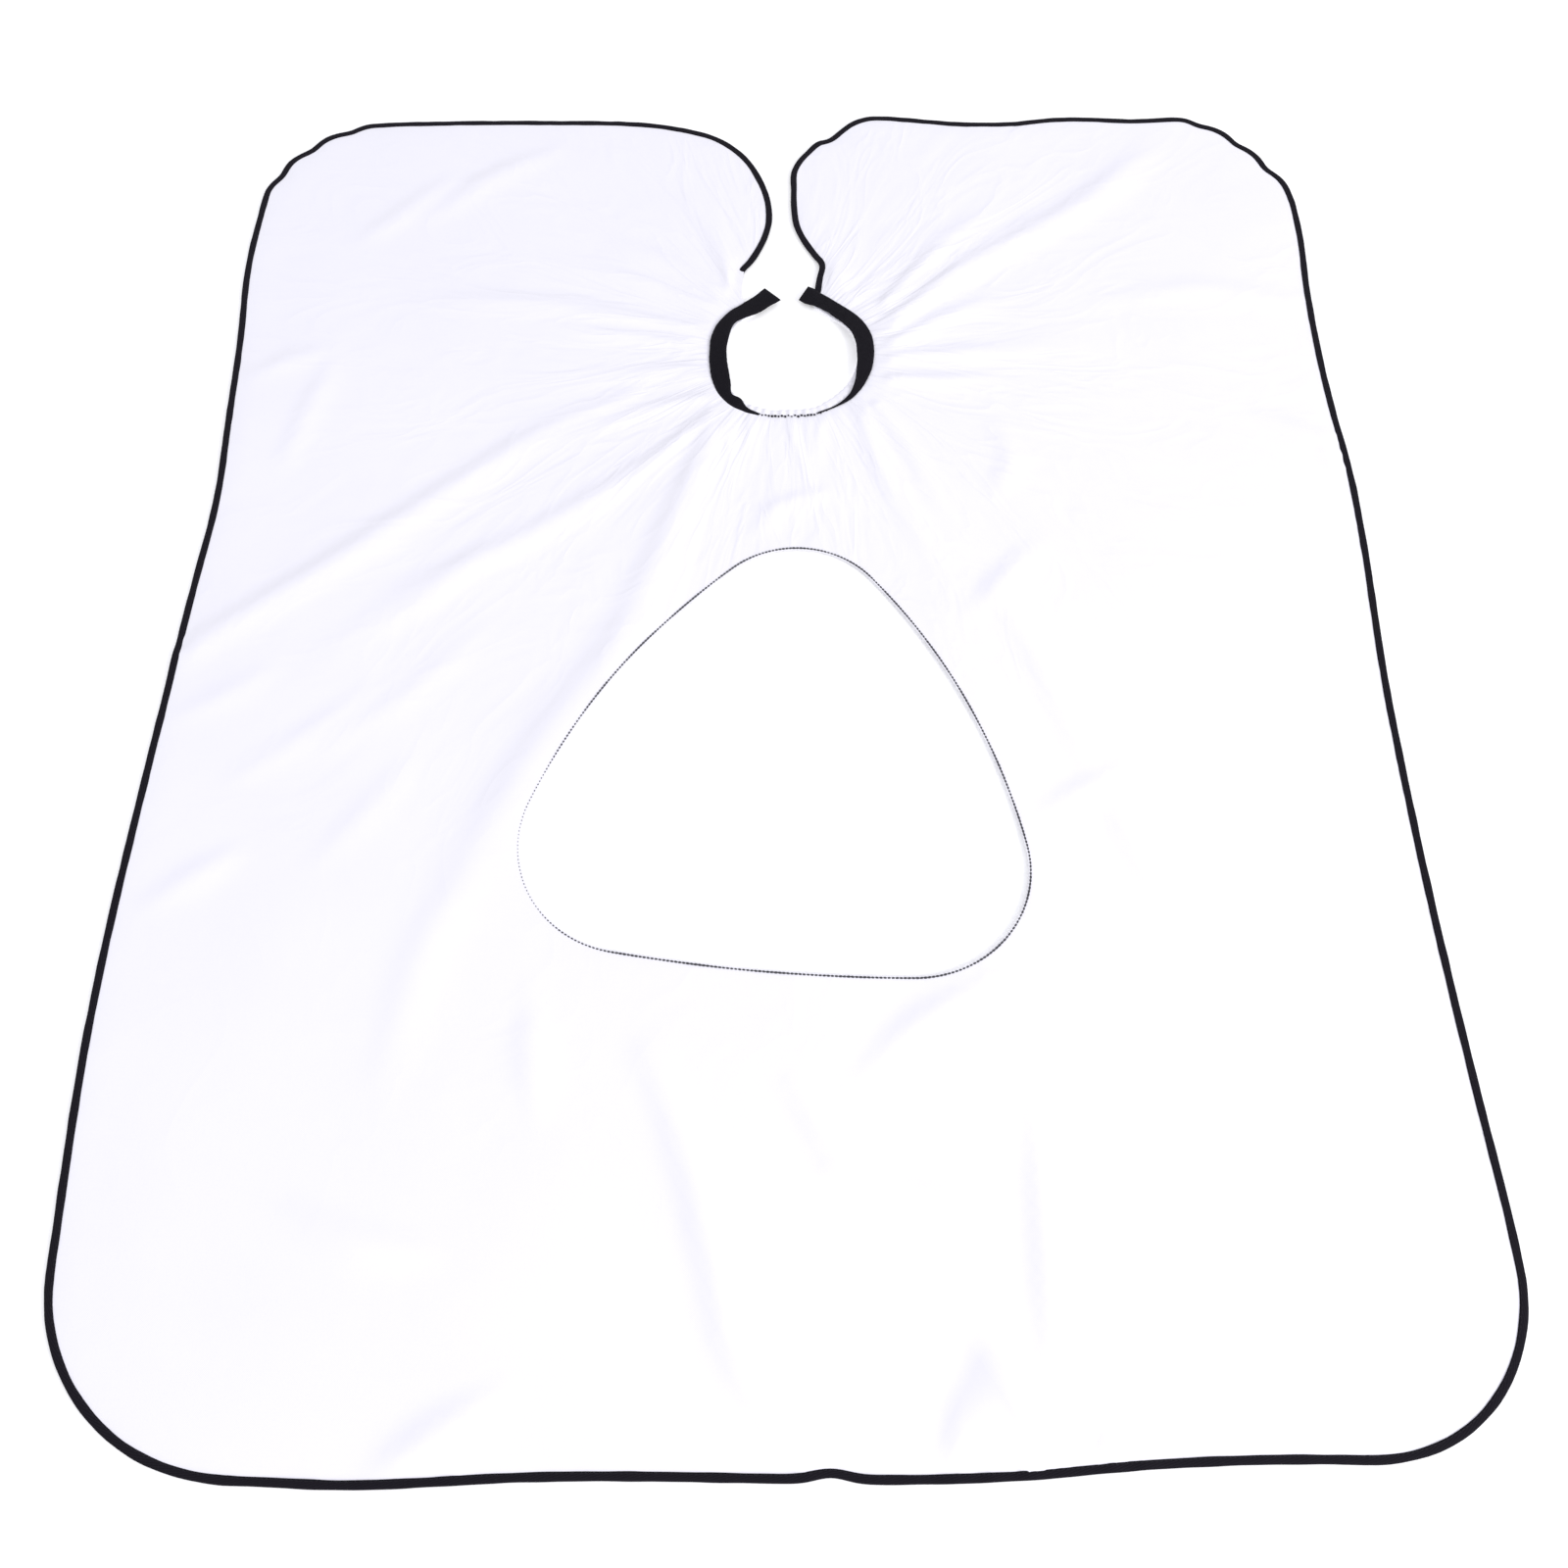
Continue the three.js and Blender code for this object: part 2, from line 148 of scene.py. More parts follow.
# Each fold: its width and height, the share of its length at which one that starts at the neck begins to die
# out or None, and the line that it follows, in millimetres.
FOLDS = (
    # Left of the neck.
    (9, 3.4, 0.45, ((-68, 348), (-161, 372), (-258, 388), (-360, 385))),
    (7, 2.4, 0.35, ((-68, 330), (-152, 345), (-241, 359))),
    (8, 2.4, 0.25, ((-62, 300), (-91, 303), (-140, 298), (-200, 300))),
    # At the left foot of the slit.
    (8, 2.2, 0.3, ((-58, 375), (-156, 423), (-247, 448))),
    (8, 2.8, 0.3, ((-48, 390), (-104, 437), (-173, 468))),
    (8, 3.0, 0.35, ((-42, 398), (-64, 468), (-99, 531))),
    # The diagonals from the neck down to the left, and the broad fold beside the window.
    (11, 4.4, None, ((-140, 272), (-211, 234), (-308, 155), (-395, 83), (-470, 24), (-540, -34))),
    (10, 3.4, 0.5, ((-57, 258), (-112, 201), (-211, 125), (-312, 61), (-394, -23))),
    (8, 2.6, 0.3, ((-61, 273), (-134, 251), (-216, 202))),
    (18, 4.4, 0.7, ((-56, 240), (-76, 184), (-104, 100), (-140, 5), (-191, -80), (-267, -244))),
    (14, 2.0, None, ((-245, -200), (-267, -244), (-292, -353))),
    # Between neck and window.
    (5, 1.6, 0.2, ((-49, 240), (-44, 166))),
    (5, 1.4, 0.2, ((-27, 240), (-35, 190))),
    (5, 1.8, 0.3, ((4, 243), (18, 192), (28, 152))),
    (5, 1.4, 0.2, ((35, 243), (29, 183))),
    (8, 2.0, None, ((-28, 116), (-5, 146), (34, 162))),
    # Right of the window.
    (9, 2.8, 0.4, ((71, 250), (89, 182), (114, 123), (153, 42))),
    (7, 2.0, 0.3, ((86, 257), (124, 182), (151, 98))),
    (10, 3.0, None, ((215, 105), (189, 73), (161, 42))),
    (9, 2.8, None, ((175, 62), (198, 10), (219, -43), (241, -108))),
    (8, 2.6, None, ((207, -145), (240, -126), (268, -112))),
    (9, 2.4, None, ((252, -129), (270, -183), (294, -242))),
    # The right wing and side.
    (8, 2.2, None, ((192, 231), (201, 199), (188, 164))),
    (9, 3.0, 0.3, ((100, 385), (160, 462), (229, 533))),
    (11, 4.2, 0.7, ((99, 356), (173, 425), (302, 517), (380, 598))),
    (8, 2.8, 0.3, ((104, 335), (155, 365), (223, 396))),
    (8, 2.4, 0.3, ((103, 316), (181, 323), (284, 333))),
    (8, 2.8, 0.3, ((102, 290), (165, 289), (208, 293))),
    (10, 2.8, None, ((431, 247), (476, 218), (508, 141))),
    (10, 2.0, None, ((303, 384), (394, 399), (495, 378))),
    # At the right foot of the slit.
    (9, 3.2, 0.3, ((54, 386), (50, 415), (40, 450))),
    # The left wing and side.
    (10, 2.8, None, ((-335, 501), (-285, 550), (-226, 587))),
    (9, 2.2, None, ((-400, 470), (-356, 516), (-324, 550))),
    (8, 2.2, None, ((-440, 200), (-428, 254), (-411, 316))),
    (8, 2.2, None, ((-480, 298), (-447, 320), (-419, 328))),
    (9, 2.4, None, ((-484, -219), (-456, -199), (-426, -178))),
    (8, 1.8, None, ((-493, -59), (-458, -40), (-421, -14))),
    # Small creases between the diagonals and the left side.
    (9, 1.8, None, ((-431, -112), (-386, -76), (-338, -35))),
    (9, 1.8, None, ((-363, -84), (-300, -32), (-250, 25))),
    (8, 1.8, None, ((-335, 25), (-291, 63), (-256, 101))),
    (9, 1.6, None, ((-360, -185), (-326, -141), (-294, -96))),
    # The skirt, with the crumpled facets by its hem.
    (13, 4.4, None, ((-102, -345), (-74, -411), (-52, -486), (-33, -555), (12, -615))),
    (10, 3.0, None, ((4, -369), (35, -418), (83, -442), (138, -448))),
    (11, 4.0, None, ((176, -386), (176, -467), (174, -561))),
    (12, 6.0, None, ((171, -612), (155, -585), (130, -549))),
    (8, 4.4, None, ((154, -627), (149, -600), (139, -572))),
    (8, 4.6, None, ((129, -627), (130, -596), (132, -564))),
    (10, 4.4, None, ((103, -626), (112, -592), (127, -556))),
    (7, 3.8, None, ((206, -627), (206, -612), (204, -600))),
    (7, 3.6, None, ((230, -626), (227, -614), (222, -604))),
    (12, 3.6, None, ((-270, -622), (-234, -596), (-195, -572))),
    (11, 3.0, None, ((-336, -450), (-299, -469), (-251, -480))),
    (11, 2.4, None, ((-189, -300), (-188, -330), (-180, -380))),
    (11, 3.4, None, ((56, -358), (88, -327), (152, -287))),
)
CREST_SHIFT = (4.5, -4.5)  # from the shaded foot of a fold, which the lines follow, to its crest
FOLD_SAMPLE = 7  # millimetres between the points that a fold is measured from
FOLD_REACH = 3.2  # widths away at which a fold has died out
STEEP_SIDE = 0.6  # a fold's flank towards the back left is this share of the other's width
EDGE_SHARE = 0.55  # height of the folds along the bound edge, as a share of the open cloth's

# Long low swells of the whole cloth: wavelength and height in millimetres, direction and phase in degrees.
SWELLS = (
    (410, 0.75, 24, 40),
    (265, 0.60, 118, 200),
    (180, 0.42, 71, 310),
    (132, 0.26, 160, 95),
    (96, 0.16, 12, 250),
    (71, 0.11, 96, 20),
)
# Gathers round the neck: how many in a turn, height and reach in millimetres, and phase in degrees.
GATHERS = (
    (23, 0.50, 40, 30),
    (37, 0.36, 24, 140),
    (58, 0.30, 12, 75),
)
FRONT_GATHERS = (
    (41, 0.60, 24, 10),
    (67, 0.50, 13, 200),
)
RESTING = 1.75  # height of the cloth's middle above the floor, in millimetres, where it lies flat
LOWEST = 1.3
NECK_RISE = 0.9
NECK_RISE_REACH = 34
UNDER_TAPES = {"height": 2.75, "slope": 0.13}  # the most that the cloth may rise beside the neckband
SOFTNESS = 0.35  # how gently the cloth meets that limit, in millimetres
TUCK = {"x": -31, "low": 372, "high": 416, "width": 13, "rise": 1.7}

# ---- The two closure tapes: outer edge and inner edge (x, y) and the inner edge's height, in millimetres ----

HOOK_STATIONS = (
    ((-10, 396), (5, 380), 5.5), ((-18, 387.5), (-4, 373), 6.0), ((-32, 376), (-17, 362.5), 6.6),
    ((-43, 367), (-30, 356), 7.2), ((-53, 354), (-38.5, 349), 7.6), ((-59, 339), (-42.5, 335), 8.0),
    ((-61, 317), (-45, 316), 8.2), ((-60, 296), (-43.5, 297), 8.0), ((-56.5, 279), (-41, 280), 7.4),
    ((-49.5, 264), (-39.5, 266), 6.6), ((-40.5, 254), (-32, 261.5), 5.8), ((-29, 247.5), (-26, 252), 4.6),
    ((-16, 243), (-15, 245.5), 4.0),
)
LOOP_STATIONS = (
    ((31, 398), (22, 380), 5.4), ((37, 394.5), (28, 375), 6.0), ((44, 388.5), (38, 371), 6.4),
    ((52, 382.5), (46, 365.5), 6.8), ((63, 373), (55, 357), 7.2), ((75, 362.5), (63.5, 348), 7.4),
    ((84, 350), (69, 340.5), 7.8), ((89.5, 334), (73, 329), 8.0), ((90.5, 315), (74.5, 313), 8.0),
    ((87, 294), (73.5, 293.5), 7.4), ((79, 276), (71, 278), 6.2), ((68.5, 262), (65, 265), 4.8),
    ((53, 252), (52.3, 253.3), 4.2), ((38, 245.2), (37.5, 246.4), 4.0),
)

# ---- Sewing, in millimetres but for the stitches, which are in metres ----

BINDING_REACH = 16.0  # from the edge, how far the binding holds the cloth down
BINDING_HOLD = 4.5  # and how far it holds it down fully
SLIT_ZONE = {"x": 7, "half": 250, "from": 350}  # the part of the cloth that may lie close to the slit's edges
CORNER_ZONE = {"inset": 150, "beyond": 110}  # and to a corner of the cape
NECK_RINGS = ((2.6, 0, 108), (4.6, 108, 190))  # mesh spacing near the neck, from and up to these distances
BEYOND = 3000  # a distance that nothing reaches
CASING_WIDTH = 13.6
CASING_HEIGHT = 3.0
CASING_WALL = 0.35
BAND_MIDDLE = 70  # distance of the band's middle from the neck's
FRONT_SHARE = 0.44  # how much narrower the band is drawn at the front
ELASTIC_SHARE = 0.74  # width of the elastic as a share of its casing's
ELASTIC_HALF = 0.00042
SEWN_UNTIL = {"hook": 125.5, "loop": 66.4}  # degrees round the neck at which a tape leaves the band
PILE_MARGIN = 0.0023
PILE_COLUMNS = 6
EDGE_STITCH = {"length": 0.84, "radius": 0.00032}  # the length as a share of the pitch
NECK_STITCH = {"pitch": 0.0034, "length": 0.0028, "radius": 0.00125}
TAPE_STITCH = {"pitch": 0.0028, "length": 0.0023, "radius": 0.00030}
WINDOW_STITCH = {"pitch": 0.0030, "length": 0.0029, "radius": 0.00088}
HOOKS = {"Spacing": 0.00135, "Height": 0.00105, "Reach": 0.0006, "Wire": 0.00010, "Closed": 0.35, "Tousle": 0.5}
LOOPS = {"Spacing": 0.00120, "Height": 0.00100, "Reach": 0.0009, "Wire": 0.00007, "Closed": 0.95, "Tousle": 1.0}

# ---- Camera, floor and light ----

LENS = 35
SENSOR = 36
CAMERA_PLACE = (-0.0004, -0.670, 1.0765)
CAMERA_DOWN = 63.18
CAMERA_RIGHT = 0.465
KEY_PLACE = (3.05, -2.4, 2.15)
KEY_SIZE = 1.5
KEY_COLOUR = (1.0, 0.99, 0.985)
SKY_COLOUR = (0.955, 0.955, 1.0, 1.0)
FLOOR_HALF = 30.0
FLOOR_GLOW = 0.24

SHARP_ANGLE = 55
FLOAT, VECTOR, GEOMETRY, MATERIAL = (
    f"NodeSocket{kind}" for kind in ("Float", "Vector", "Geometry", "Material")
)
DEFAULT_SOCKETS = {float: FLOAT, int: "NodeSocketInt", tuple: VECTOR}


# ---- Settings ----


class CapeClothSettings(bpy.types.PropertyGroup):
    thickness: FloatProperty(
        name="Cloth thickness", description="Thickness of the woven cloth", default=0.0004, unit="LENGTH"
    )
    fold_height: FloatProperty(
        name="Fold height", description="How high the folds stand, as a share of the usual",
        default=1.0, min=0.0, max=1.4,
    )
    mesh_spacing: FloatProperty(
        name="Mesh spacing", description="Distance between points of the open cloth",
        default=0.0085, unit="LENGTH",
    )
    colour: FloatVectorProperty(
        name="Cloth colour", description="Colour of the cloth",
        default=(0.875, 0.868, 0.925), subtype="COLOR", size=3,
    )
    shade: FloatVectorProperty(
        name="Cloth shade", description="Colour of the cloth's slubs",
        default=(0.825, 0.815, 0.89), subtype="COLOR", size=3,
    )
    weave_pitch: FloatProperty(
        name="Weave pitch", description="Distance between the cloth's threads",
        default=0.0006, unit="LENGTH",
    )


class CapeTrimSettings(bpy.types.PropertyGroup):
    binding_width: FloatProperty(
        name="Binding width", description="Width of the folded tape round the edge",
        default=0.006, unit="LENGTH",
    )
    binding_height: FloatProperty(
        name="Binding height", description="Thickness of the folded tape", default=0.0026, unit="LENGTH"
    )
    binding_colour: FloatVectorProperty(
        name="Binding colour", description="Colour of the tape round the edge",
        default=(0.0052, 0.0042, 0.0075), subtype="COLOR", size=3,
    )
    tape_colour: FloatVectorProperty(
        name="Closure colour", description="Colour of the hook and loop tapes",
        default=(0.0045, 0.0038, 0.0064), subtype="COLOR", size=3,
    )
    tape_height: FloatProperty(
        name="Closure thickness", description="Thickness of the hook and loop tapes",
        default=0.0015, unit="LENGTH",
    )
    stitch_pitch: FloatProperty(
        name="Stitch pitch", description="Distance from stitch to stitch on the binding",
        default=0.0032, unit="LENGTH",
    )
    seam_colour: FloatVectorProperty(
        name="Seam thread colour", description="Colour of the thread round the window",
        default=(0.055, 0.055, 0.062), subtype="COLOR", size=3,
    )
    seed: IntProperty(name="Seed", description="Seed of everything that varies at random", default=4)


class CapeStageSettings(bpy.types.PropertyGroup):
    floor_colour: FloatVectorProperty(
        name="Floor colour", description="Colour of the floor",
        default=(0.93, 0.93, 0.935), subtype="COLOR", size=3,
    )
    key_power: FloatProperty(
        name="Key light", description="Power of the key light in watts", default=112.0, min=0.0
    )
    sky_strength: FloatProperty(
        name="Sky", description="Strength of the even light all round", default=0.918, min=0.0
    )


class CapeSettings(bpy.types.PropertyGroup):
    cloth: PointerProperty(type=CapeClothSettings, name="Cloth", description="The woven panel")
    trim: PointerProperty(type=CapeTrimSettings, name="Trim", description="Binding, tapes and thread")
    stage: PointerProperty(type=CapeStageSettings, name="Stage", description="Floor and light")


def settings():
    return bpy.context.scene.barber_cape


# ---- Lines in the plane ----


def hermite(points, at, places):
    """Points at the places of a smooth curve that passes each given point at its own place."""
    slopes = np.gradient(points, at, axis=0)
    index = np.clip(np.searchsorted(at, places, side="right") - 1, 0, len(at) - 2)
    span = (at[index + 1] - at[index])[:, None]
    share = (places - at[index])[:, None] / span
    square, cube = share**2, share**3
    return (
        points[index] * (2 * cube - 3 * square + 1)
        + slopes[index] * span * (cube - 2 * square + share)
        + points[index + 1] * (3 * square - 2 * cube)
        + slopes[index + 1] * span * (cube - square)
    )


def smooth_through(points, step):
    """An evenly stepped smooth curve through a few points."""
    points = np.asarray(points, float)
    at = travelled(points)
    return hermite(points, at, stepped(at, step))


def travelled(points):
    """Distance along the line at each of its points."""
    return np.concatenate([[0], np.cumsum(np.linalg.norm(np.diff(points, axis=0), axis=1))])


def stepped(at, step):
    """Even places along a line, about a step apart."""
    return np.linspace(0, at[-1], max(2, round(at[-1] / step)) + 1)


def even(points, step):
    """The same line with its points one step apart."""
    at = travelled(points)
    return np.stack([np.interp(stepped(at, step), at, column) for column in points.T], axis=1)


def distance(points, x, y):
    return np.hypot(points[:, 0] - x, points[:, 1] - y)


def directions(points):
    along = np.gradient(points, axis=0)
    return along / np.linalg.norm(along, axis=1)[:, None]


def leftwards(points):
    along = directions(points[:, :2])
    return np.stack([-along[:, 1], along[:, 0]], axis=1)


def moved_left(points, distance):
    """The line moved to the left of its travel. The distance is one number or one for each point."""
    return points[:, :2] + leftwards(points) * np.broadcast_to(distance, len(points))[:, None]


def eased(value, low, high):
    share = np.clip((np.asarray(value, float) - low) / (high - low), 0, 1)
    return share * share * (3 - 2 * share)


def softened(values, times):
    for _ in range(times):
        inner = (values[:-2] + 2 * values[1:-1] + values[2:]) / 4
        values = np.concatenate([values[:1], inner, values[-1:]])
    return values


def quarter(centre, across, along, first):
    angle = np.radians(first + np.linspace(0, 90, CORNER_STEPS))
    return np.stack([centre[0] + across * np.cos(angle), centre[1] + along * np.sin(angle)], axis=1)


def cape_edge(step=3.0):
    """The bound edge in millimetres, from the left of the neck round the cape, with the cloth on its left."""
    side, back, hem = SIDE / MM, BACK / MM, HEM / MM
    wing, hem_left, hem_right = WING_CORNER, LEFT_HEM_CORNER, RIGHT_HEM_CORNER
    runs = (
        smooth_through(SLIT_LEFT_LINE, step),
        quarter((-side + wing, back - wing), wing, wing, 90),
        quarter((-side + hem_left, hem + hem_left), hem_left, hem_left, 180),
        quarter((side - hem_right, hem + hem_right), hem_right, hem_right, 270),
        quarter((side - wing, back - wing), wing, wing, 0),
        smooth_through(SLIT_RIGHT_LINE, step),
    )
    line = even(np.vstack(runs), step)
    outwards = -leftwards(line)
    at = travelled(line)
    knots = np.array([at[np.argmin(distance(line, x, y))] for x, y, _far in EDGE_SWAYS])
    fars = np.array([[far] for _x, _y, far in EDGE_SWAYS])
    push = hermite(fars, knots, np.clip(at, knots[0], knots[-1]))[:, 0]
    x, y, far, reach = HEM_DENT
    push += far * np.exp(-(distance(line, x, y) / reach) ** 2)
    for x, y, reach, length, depth in SCALLOPS:
        near = distance(line, x, y)
        held = 1 - eased(near, reach * 0.55, reach)
        start = at[np.argmin(near)]
        push += depth * held * (np.abs(np.sin(np.pi * (at - start) / length)) - 0.55)
    push = softened(push, 3)
    return even(line + outwards * push[:, None], step)


def neck_circle(angles, shift=0.0):
    """Points of the neckline in millimetres at these angles in degrees, moved outwards by a shift."""
    given = np.array(NECKLINE)[::-1]
    radius = hermite(given[:, 1:], given[:, 0], np.asarray(angles, float))[:, 0] + shift
    turn = np.radians(angles)
    return np.stack([NECK[0] / MM + radius * np.cos(turn), NECK[1] / MM + radius * np.sin(turn)], axis=1)


def window_edge(step=3.0, outward=0.0):
    """The window's edge in millimetres, counterclockwise and closed, moved outwards."""
    half = WINDOW_SPREAD / 2
    middles = np.array([(0, WINDOW_RISE), (-half, 0), (half, 0)], float)
    radii = (WINDOW_TOP_RADIUS, WINDOW_LOWER_RADIUS, WINDOW_LOWER_RADIUS)
    centres = []
    for k, bow in enumerate(WINDOW_BOWS):
        here, there = middles[k], middles[(k + 1) % 3]
        length = np.linalg.norm(there - here)
        unit = (there - here) / length
        reach, other = bow - radii[k], bow - radii[(k + 1) % 3]
        along = (reach**2 - other**2 + length**2) / (2 * length)
        aside = math.sqrt(reach**2 - along**2)
        centres.append(here + unit * along + np.array([-unit[1], unit[0]]) * aside)
    line = []
    for k in range(3):
        from_before = middles[k] - centres[k - 1]
        from_here = middles[k] - centres[k]
        to_next = middles[(k + 1) % 3] - centres[k]
        line.append(arc(middles[k], radii[k] + outward, from_before, from_here))
        line.append(arc(centres[k], WINDOW_BOWS[k] + outward, from_here, to_next))
    turn = math.radians(WINDOW_TILT)
    spin = np.array([[math.cos(turn), -math.sin(turn)], [math.sin(turn), math.cos(turn)]])
    return even(np.vstack(line) @ spin.T + np.array(WINDOW_PLACE), step)


def arc(centre, radius, from_ray, to_ray):
    """Points of a counterclockwise arc between two rays."""
    start = math.atan2(from_ray[1], from_ray[0])
    sweep = (math.atan2(to_ray[1], to_ray[0]) - start) % (2 * math.pi)
    angle = start + np.linspace(0, sweep, CORNER_STEPS)
    return centre + radius * np.stack([np.cos(angle), np.sin(angle)], axis=1)


# ---- How the cloth lies ----


def fold_lines():
    """Each fold's points, their share of the way along it, its directions, width, height and fading share."""
    made = []
    for width, height, fading, points in FOLDS:
        line = smooth_through(points, FOLD_SAMPLE) + np.array(CREST_SHIFT)
        share = np.linspace(0, 1, len(line))
        made.append((line, share, directions(line), width, height, fading))
    return made


FOLD_LINES = fold_lines()


def fold_heights(where):
    total = np.zeros(len(where))
    for line, share, along, width, height, fading in FOLD_LINES:
        widest = width * 2 * FOLD_REACH
        near = np.all((where > line.min(0) - widest) & (where < line.max(0) + widest), axis=1)
        if not near.any():
            continue
        spot = where[near]
        nearest = np.argmin(((spot[:, None, :] - line[None]) ** 2).sum(2), axis=1)
        offset = spot - line[nearest]
        heading = along[nearest]
        forward = (offset * heading).sum(1)
        sideways = offset[:, 1] * heading[:, 0] - offset[:, 0] * heading[:, 1]
        past_end = np.where((nearest == 0) | (nearest == len(line) - 1), np.abs(forward), 0)
        part = share[nearest]
        broad = width * (1 + (0.5 * np.sin(np.pi * part) if fading is None else 0.8 * part))
        tilt = heading[:, 0] + heading[:, 1]
        steep = np.where(sideways * tilt > 0, STEEP_SIDE, 1.0)
        profile = np.exp(-((sideways / (broad * steep)) ** 2) - (past_end / broad) ** 2)
        strength = np.sin(np.pi * (0.12 + 0.76 * part)) if fading is None else 1 - eased(part, fading, 1.1)
        total[near] += height * strength * profile
    return total


def lie(where):
    """Height in millimetres of the cloth's middle above the floor, at places in millimetres."""
    where = np.asarray(where, float).reshape(-1, 2)
    x, y = where[:, 0], where[:, 1]
    height = np.full(len(where), RESTING)
    for wavelength, amount, heading, phase in SWELLS:
        turn = math.radians(heading)
        run = (x * math.cos(turn) + y * math.sin(turn)) / wavelength
        height += amount * (0.5 + 0.5 * np.sin(2 * np.pi * run + math.radians(phase)))
    height += fold_heights(where) * settings().cloth.fold_height
    angle = np.arctan2(y - NECK[1] / MM, x - NECK[0] / MM)
    past = np.maximum(distance(where, *NECK / MM) - NECK_RADIUS / MM, 0)
    for count, amount, reach, phase in GATHERS:
        height += amount * np.exp(-past / reach) * np.cos(count * angle + math.radians(phase))
    front = front_share(np.degrees(angle), 46)
    for count, amount, reach, phase in FRONT_GATHERS:
        height += front * amount * np.exp(-past / reach) * np.cos(count * angle + math.radians(phase))
    height += NECK_RISE * np.exp(-((past / NECK_RISE_REACH) ** 2))
    beside = np.exp(-(((x - TUCK["x"]) / TUCK["width"]) ** 2))
    within = eased(y, TUCK["low"] - 10, TUCK["low"]) * (1 - eased(y, TUCK["high"] - 8, TUCK["high"] + 4))
    height += TUCK["rise"] * beside * within
    most = UNDER_TAPES["height"] + UNDER_TAPES["slope"] * past
    height = most - SOFTNESS * np.logaddexp(0, (most - height) / SOFTNESS)
    return np.maximum(height, LOWEST)


def front_share(degrees, width, middle=-92):
    """1 at the front of the neck, dying away over a width in degrees."""
    return np.exp(-(((degrees - middle) / width) ** 2))


def edge_lie(where):
    """The same along the bound edge, which the binding's weight keeps closer to the floor."""
    return RESTING + (lie(where) - RESTING) * EDGE_SHARE


# ---- Meshes ----


def inside(where, loop):
    """Which places lie inside a closed line, by counting crossings."""
    x, y = where[:, 0], where[:, 1]
    odd = np.zeros(len(where), bool)
    ahead = np.roll(loop, -1, axis=0)
    for (x1, y1), (x2, y2) in zip(loop, ahead):
        if y1 == y2:
            continue
        crosses = (y1 > y) != (y2 > y)
        odd ^= crosses & (x < (x2 - x1) * (y - y1) / (y2 - y1) + x1)
    return odd


def clear_of(where, lines, gap):
    """Which places are at least a gap from every point of the lines."""
    free = np.ones(len(where), bool)
    points = np.vstack(lines)
    for start in range(0, len(where), 2000):
        piece = where[start : start + 2000]
        least = np.min(((piece[:, None, :] - points[None]) ** 2).sum(2), axis=1)
        free[start : start + 2000] = least > np.broadcast_to(gap, len(where))[start : start + 2000] ** 2
    return free


def hex_points(low, high, spacing):
    rows = np.arange(low[1], high[1], spacing * math.sqrt(0.75))
    columns = np.arange(low[0], high[0], spacing)
    lines = [(columns + (k % 2) * spacing / 2, np.full(len(columns), y)) for k, y in enumerate(rows)]
    return np.vstack([np.column_stack(line) for line in lines])


def flat_mesh(outer, hole, zones):
    """Points and triangles that fill a closed line, but for a hole. Each zone is a spacing and the ring round
    the neck that it serves."""
    lines = [outer] if hole is None else [outer, hole]
    inner = []
    for spacing, ring_low, ring_high in zones:
        grid = hex_points(outer.min(0), outer.max(0), spacing)
        away = distance(grid, *NECK / MM)
        grid = grid[(away >= ring_low + spacing / 2) & (away < ring_high)]
        grid = grid[inside(grid, outer)]
        if hole is not None:
            grid = grid[~inside(grid, hole)]
        inner.append(grid[clear_of(grid, lines, spacing * 0.62)])
    points = np.vstack(lines + inner)
    edges, start = [], 0
    for line in lines:
        count = len(line)
        edges += [(start + k, start + (k + 1) % count) for k in range(count)]
        start += count
    found = geometry.delaunay_2d_cdt([Vector(p) for p in points], edges, [], 1, 1e-4)
    points = np.array([tuple(p) for p in found[0]])
    triangles = np.array(found[2])
    a, b, c = (points[triangles[:, k]] for k in range(3))
    twice = (b[:, 0] - a[:, 0]) * (c[:, 1] - a[:, 1]) - (b[:, 1] - a[:, 1]) * (c[:, 0] - a[:, 0])
    triangles = np.where(twice[:, None] > 0, triangles, triangles[:, ::-1])
    keep = np.abs(twice) > 1e-6
    if hole is not None:
        keep &= ~inside((a + b + c) / 3, hole)
    return points, triangles[keep]


def rim_of(triangles):
    """The directed edges that only one triangle uses."""
    edges = np.vstack([triangles[:, [0, 1]], triangles[:, [1, 2]], triangles[:, [2, 0]]])
    used = {tuple(edge) for edge in edges}
    return [(a, b) for a, b in used if (b, a) not in used]


def add_object(name, data):
    made = bpy.data.objects.new(name, data)
    bpy.context.scene.collection.objects.link(made)
    return made


def link(name, mesh, material):
    mesh.materials.append(material)
    mesh.shade_smooth()
    mesh.set_sharp_from_angle(angle=math.radians(SHARP_ANGLE))
    return add_object(name, mesh)


def thin_sheet(name, points, triangles, heights, thickness, material):
    """A closed sheet with a top, an underside and a rim, from a flat mesh and its heights in millimetres."""
    count = len(points)
    flat = points * MM
    top = np.column_stack([flat, heights * MM + thickness / 2])
    under = np.column_stack([flat, heights * MM - thickness / 2])
    rim = rim_of(triangles)
    faces = [tuple(t) for t in triangles] + [tuple(t[::-1] + count) for t in triangles]
    faces += [(b, a, a + count, b + count) for a, b in rim]
    mesh = bpy.data.meshes.new(name)
    mesh.from_pydata(np.vstack([top, under]).tolist(), [], faces)
    layer = mesh.uv_layers.new(name="UVMap")
    corners = np.zeros(len(mesh.loops), np.int64)
    mesh.loops.foreach_get("vertex_index", corners)
    layer.data.foreach_set("uv", np.vstack([flat, flat])[corners].astype(np.float32).ravel())
    mesh.update()
    return link(name, mesh, material)


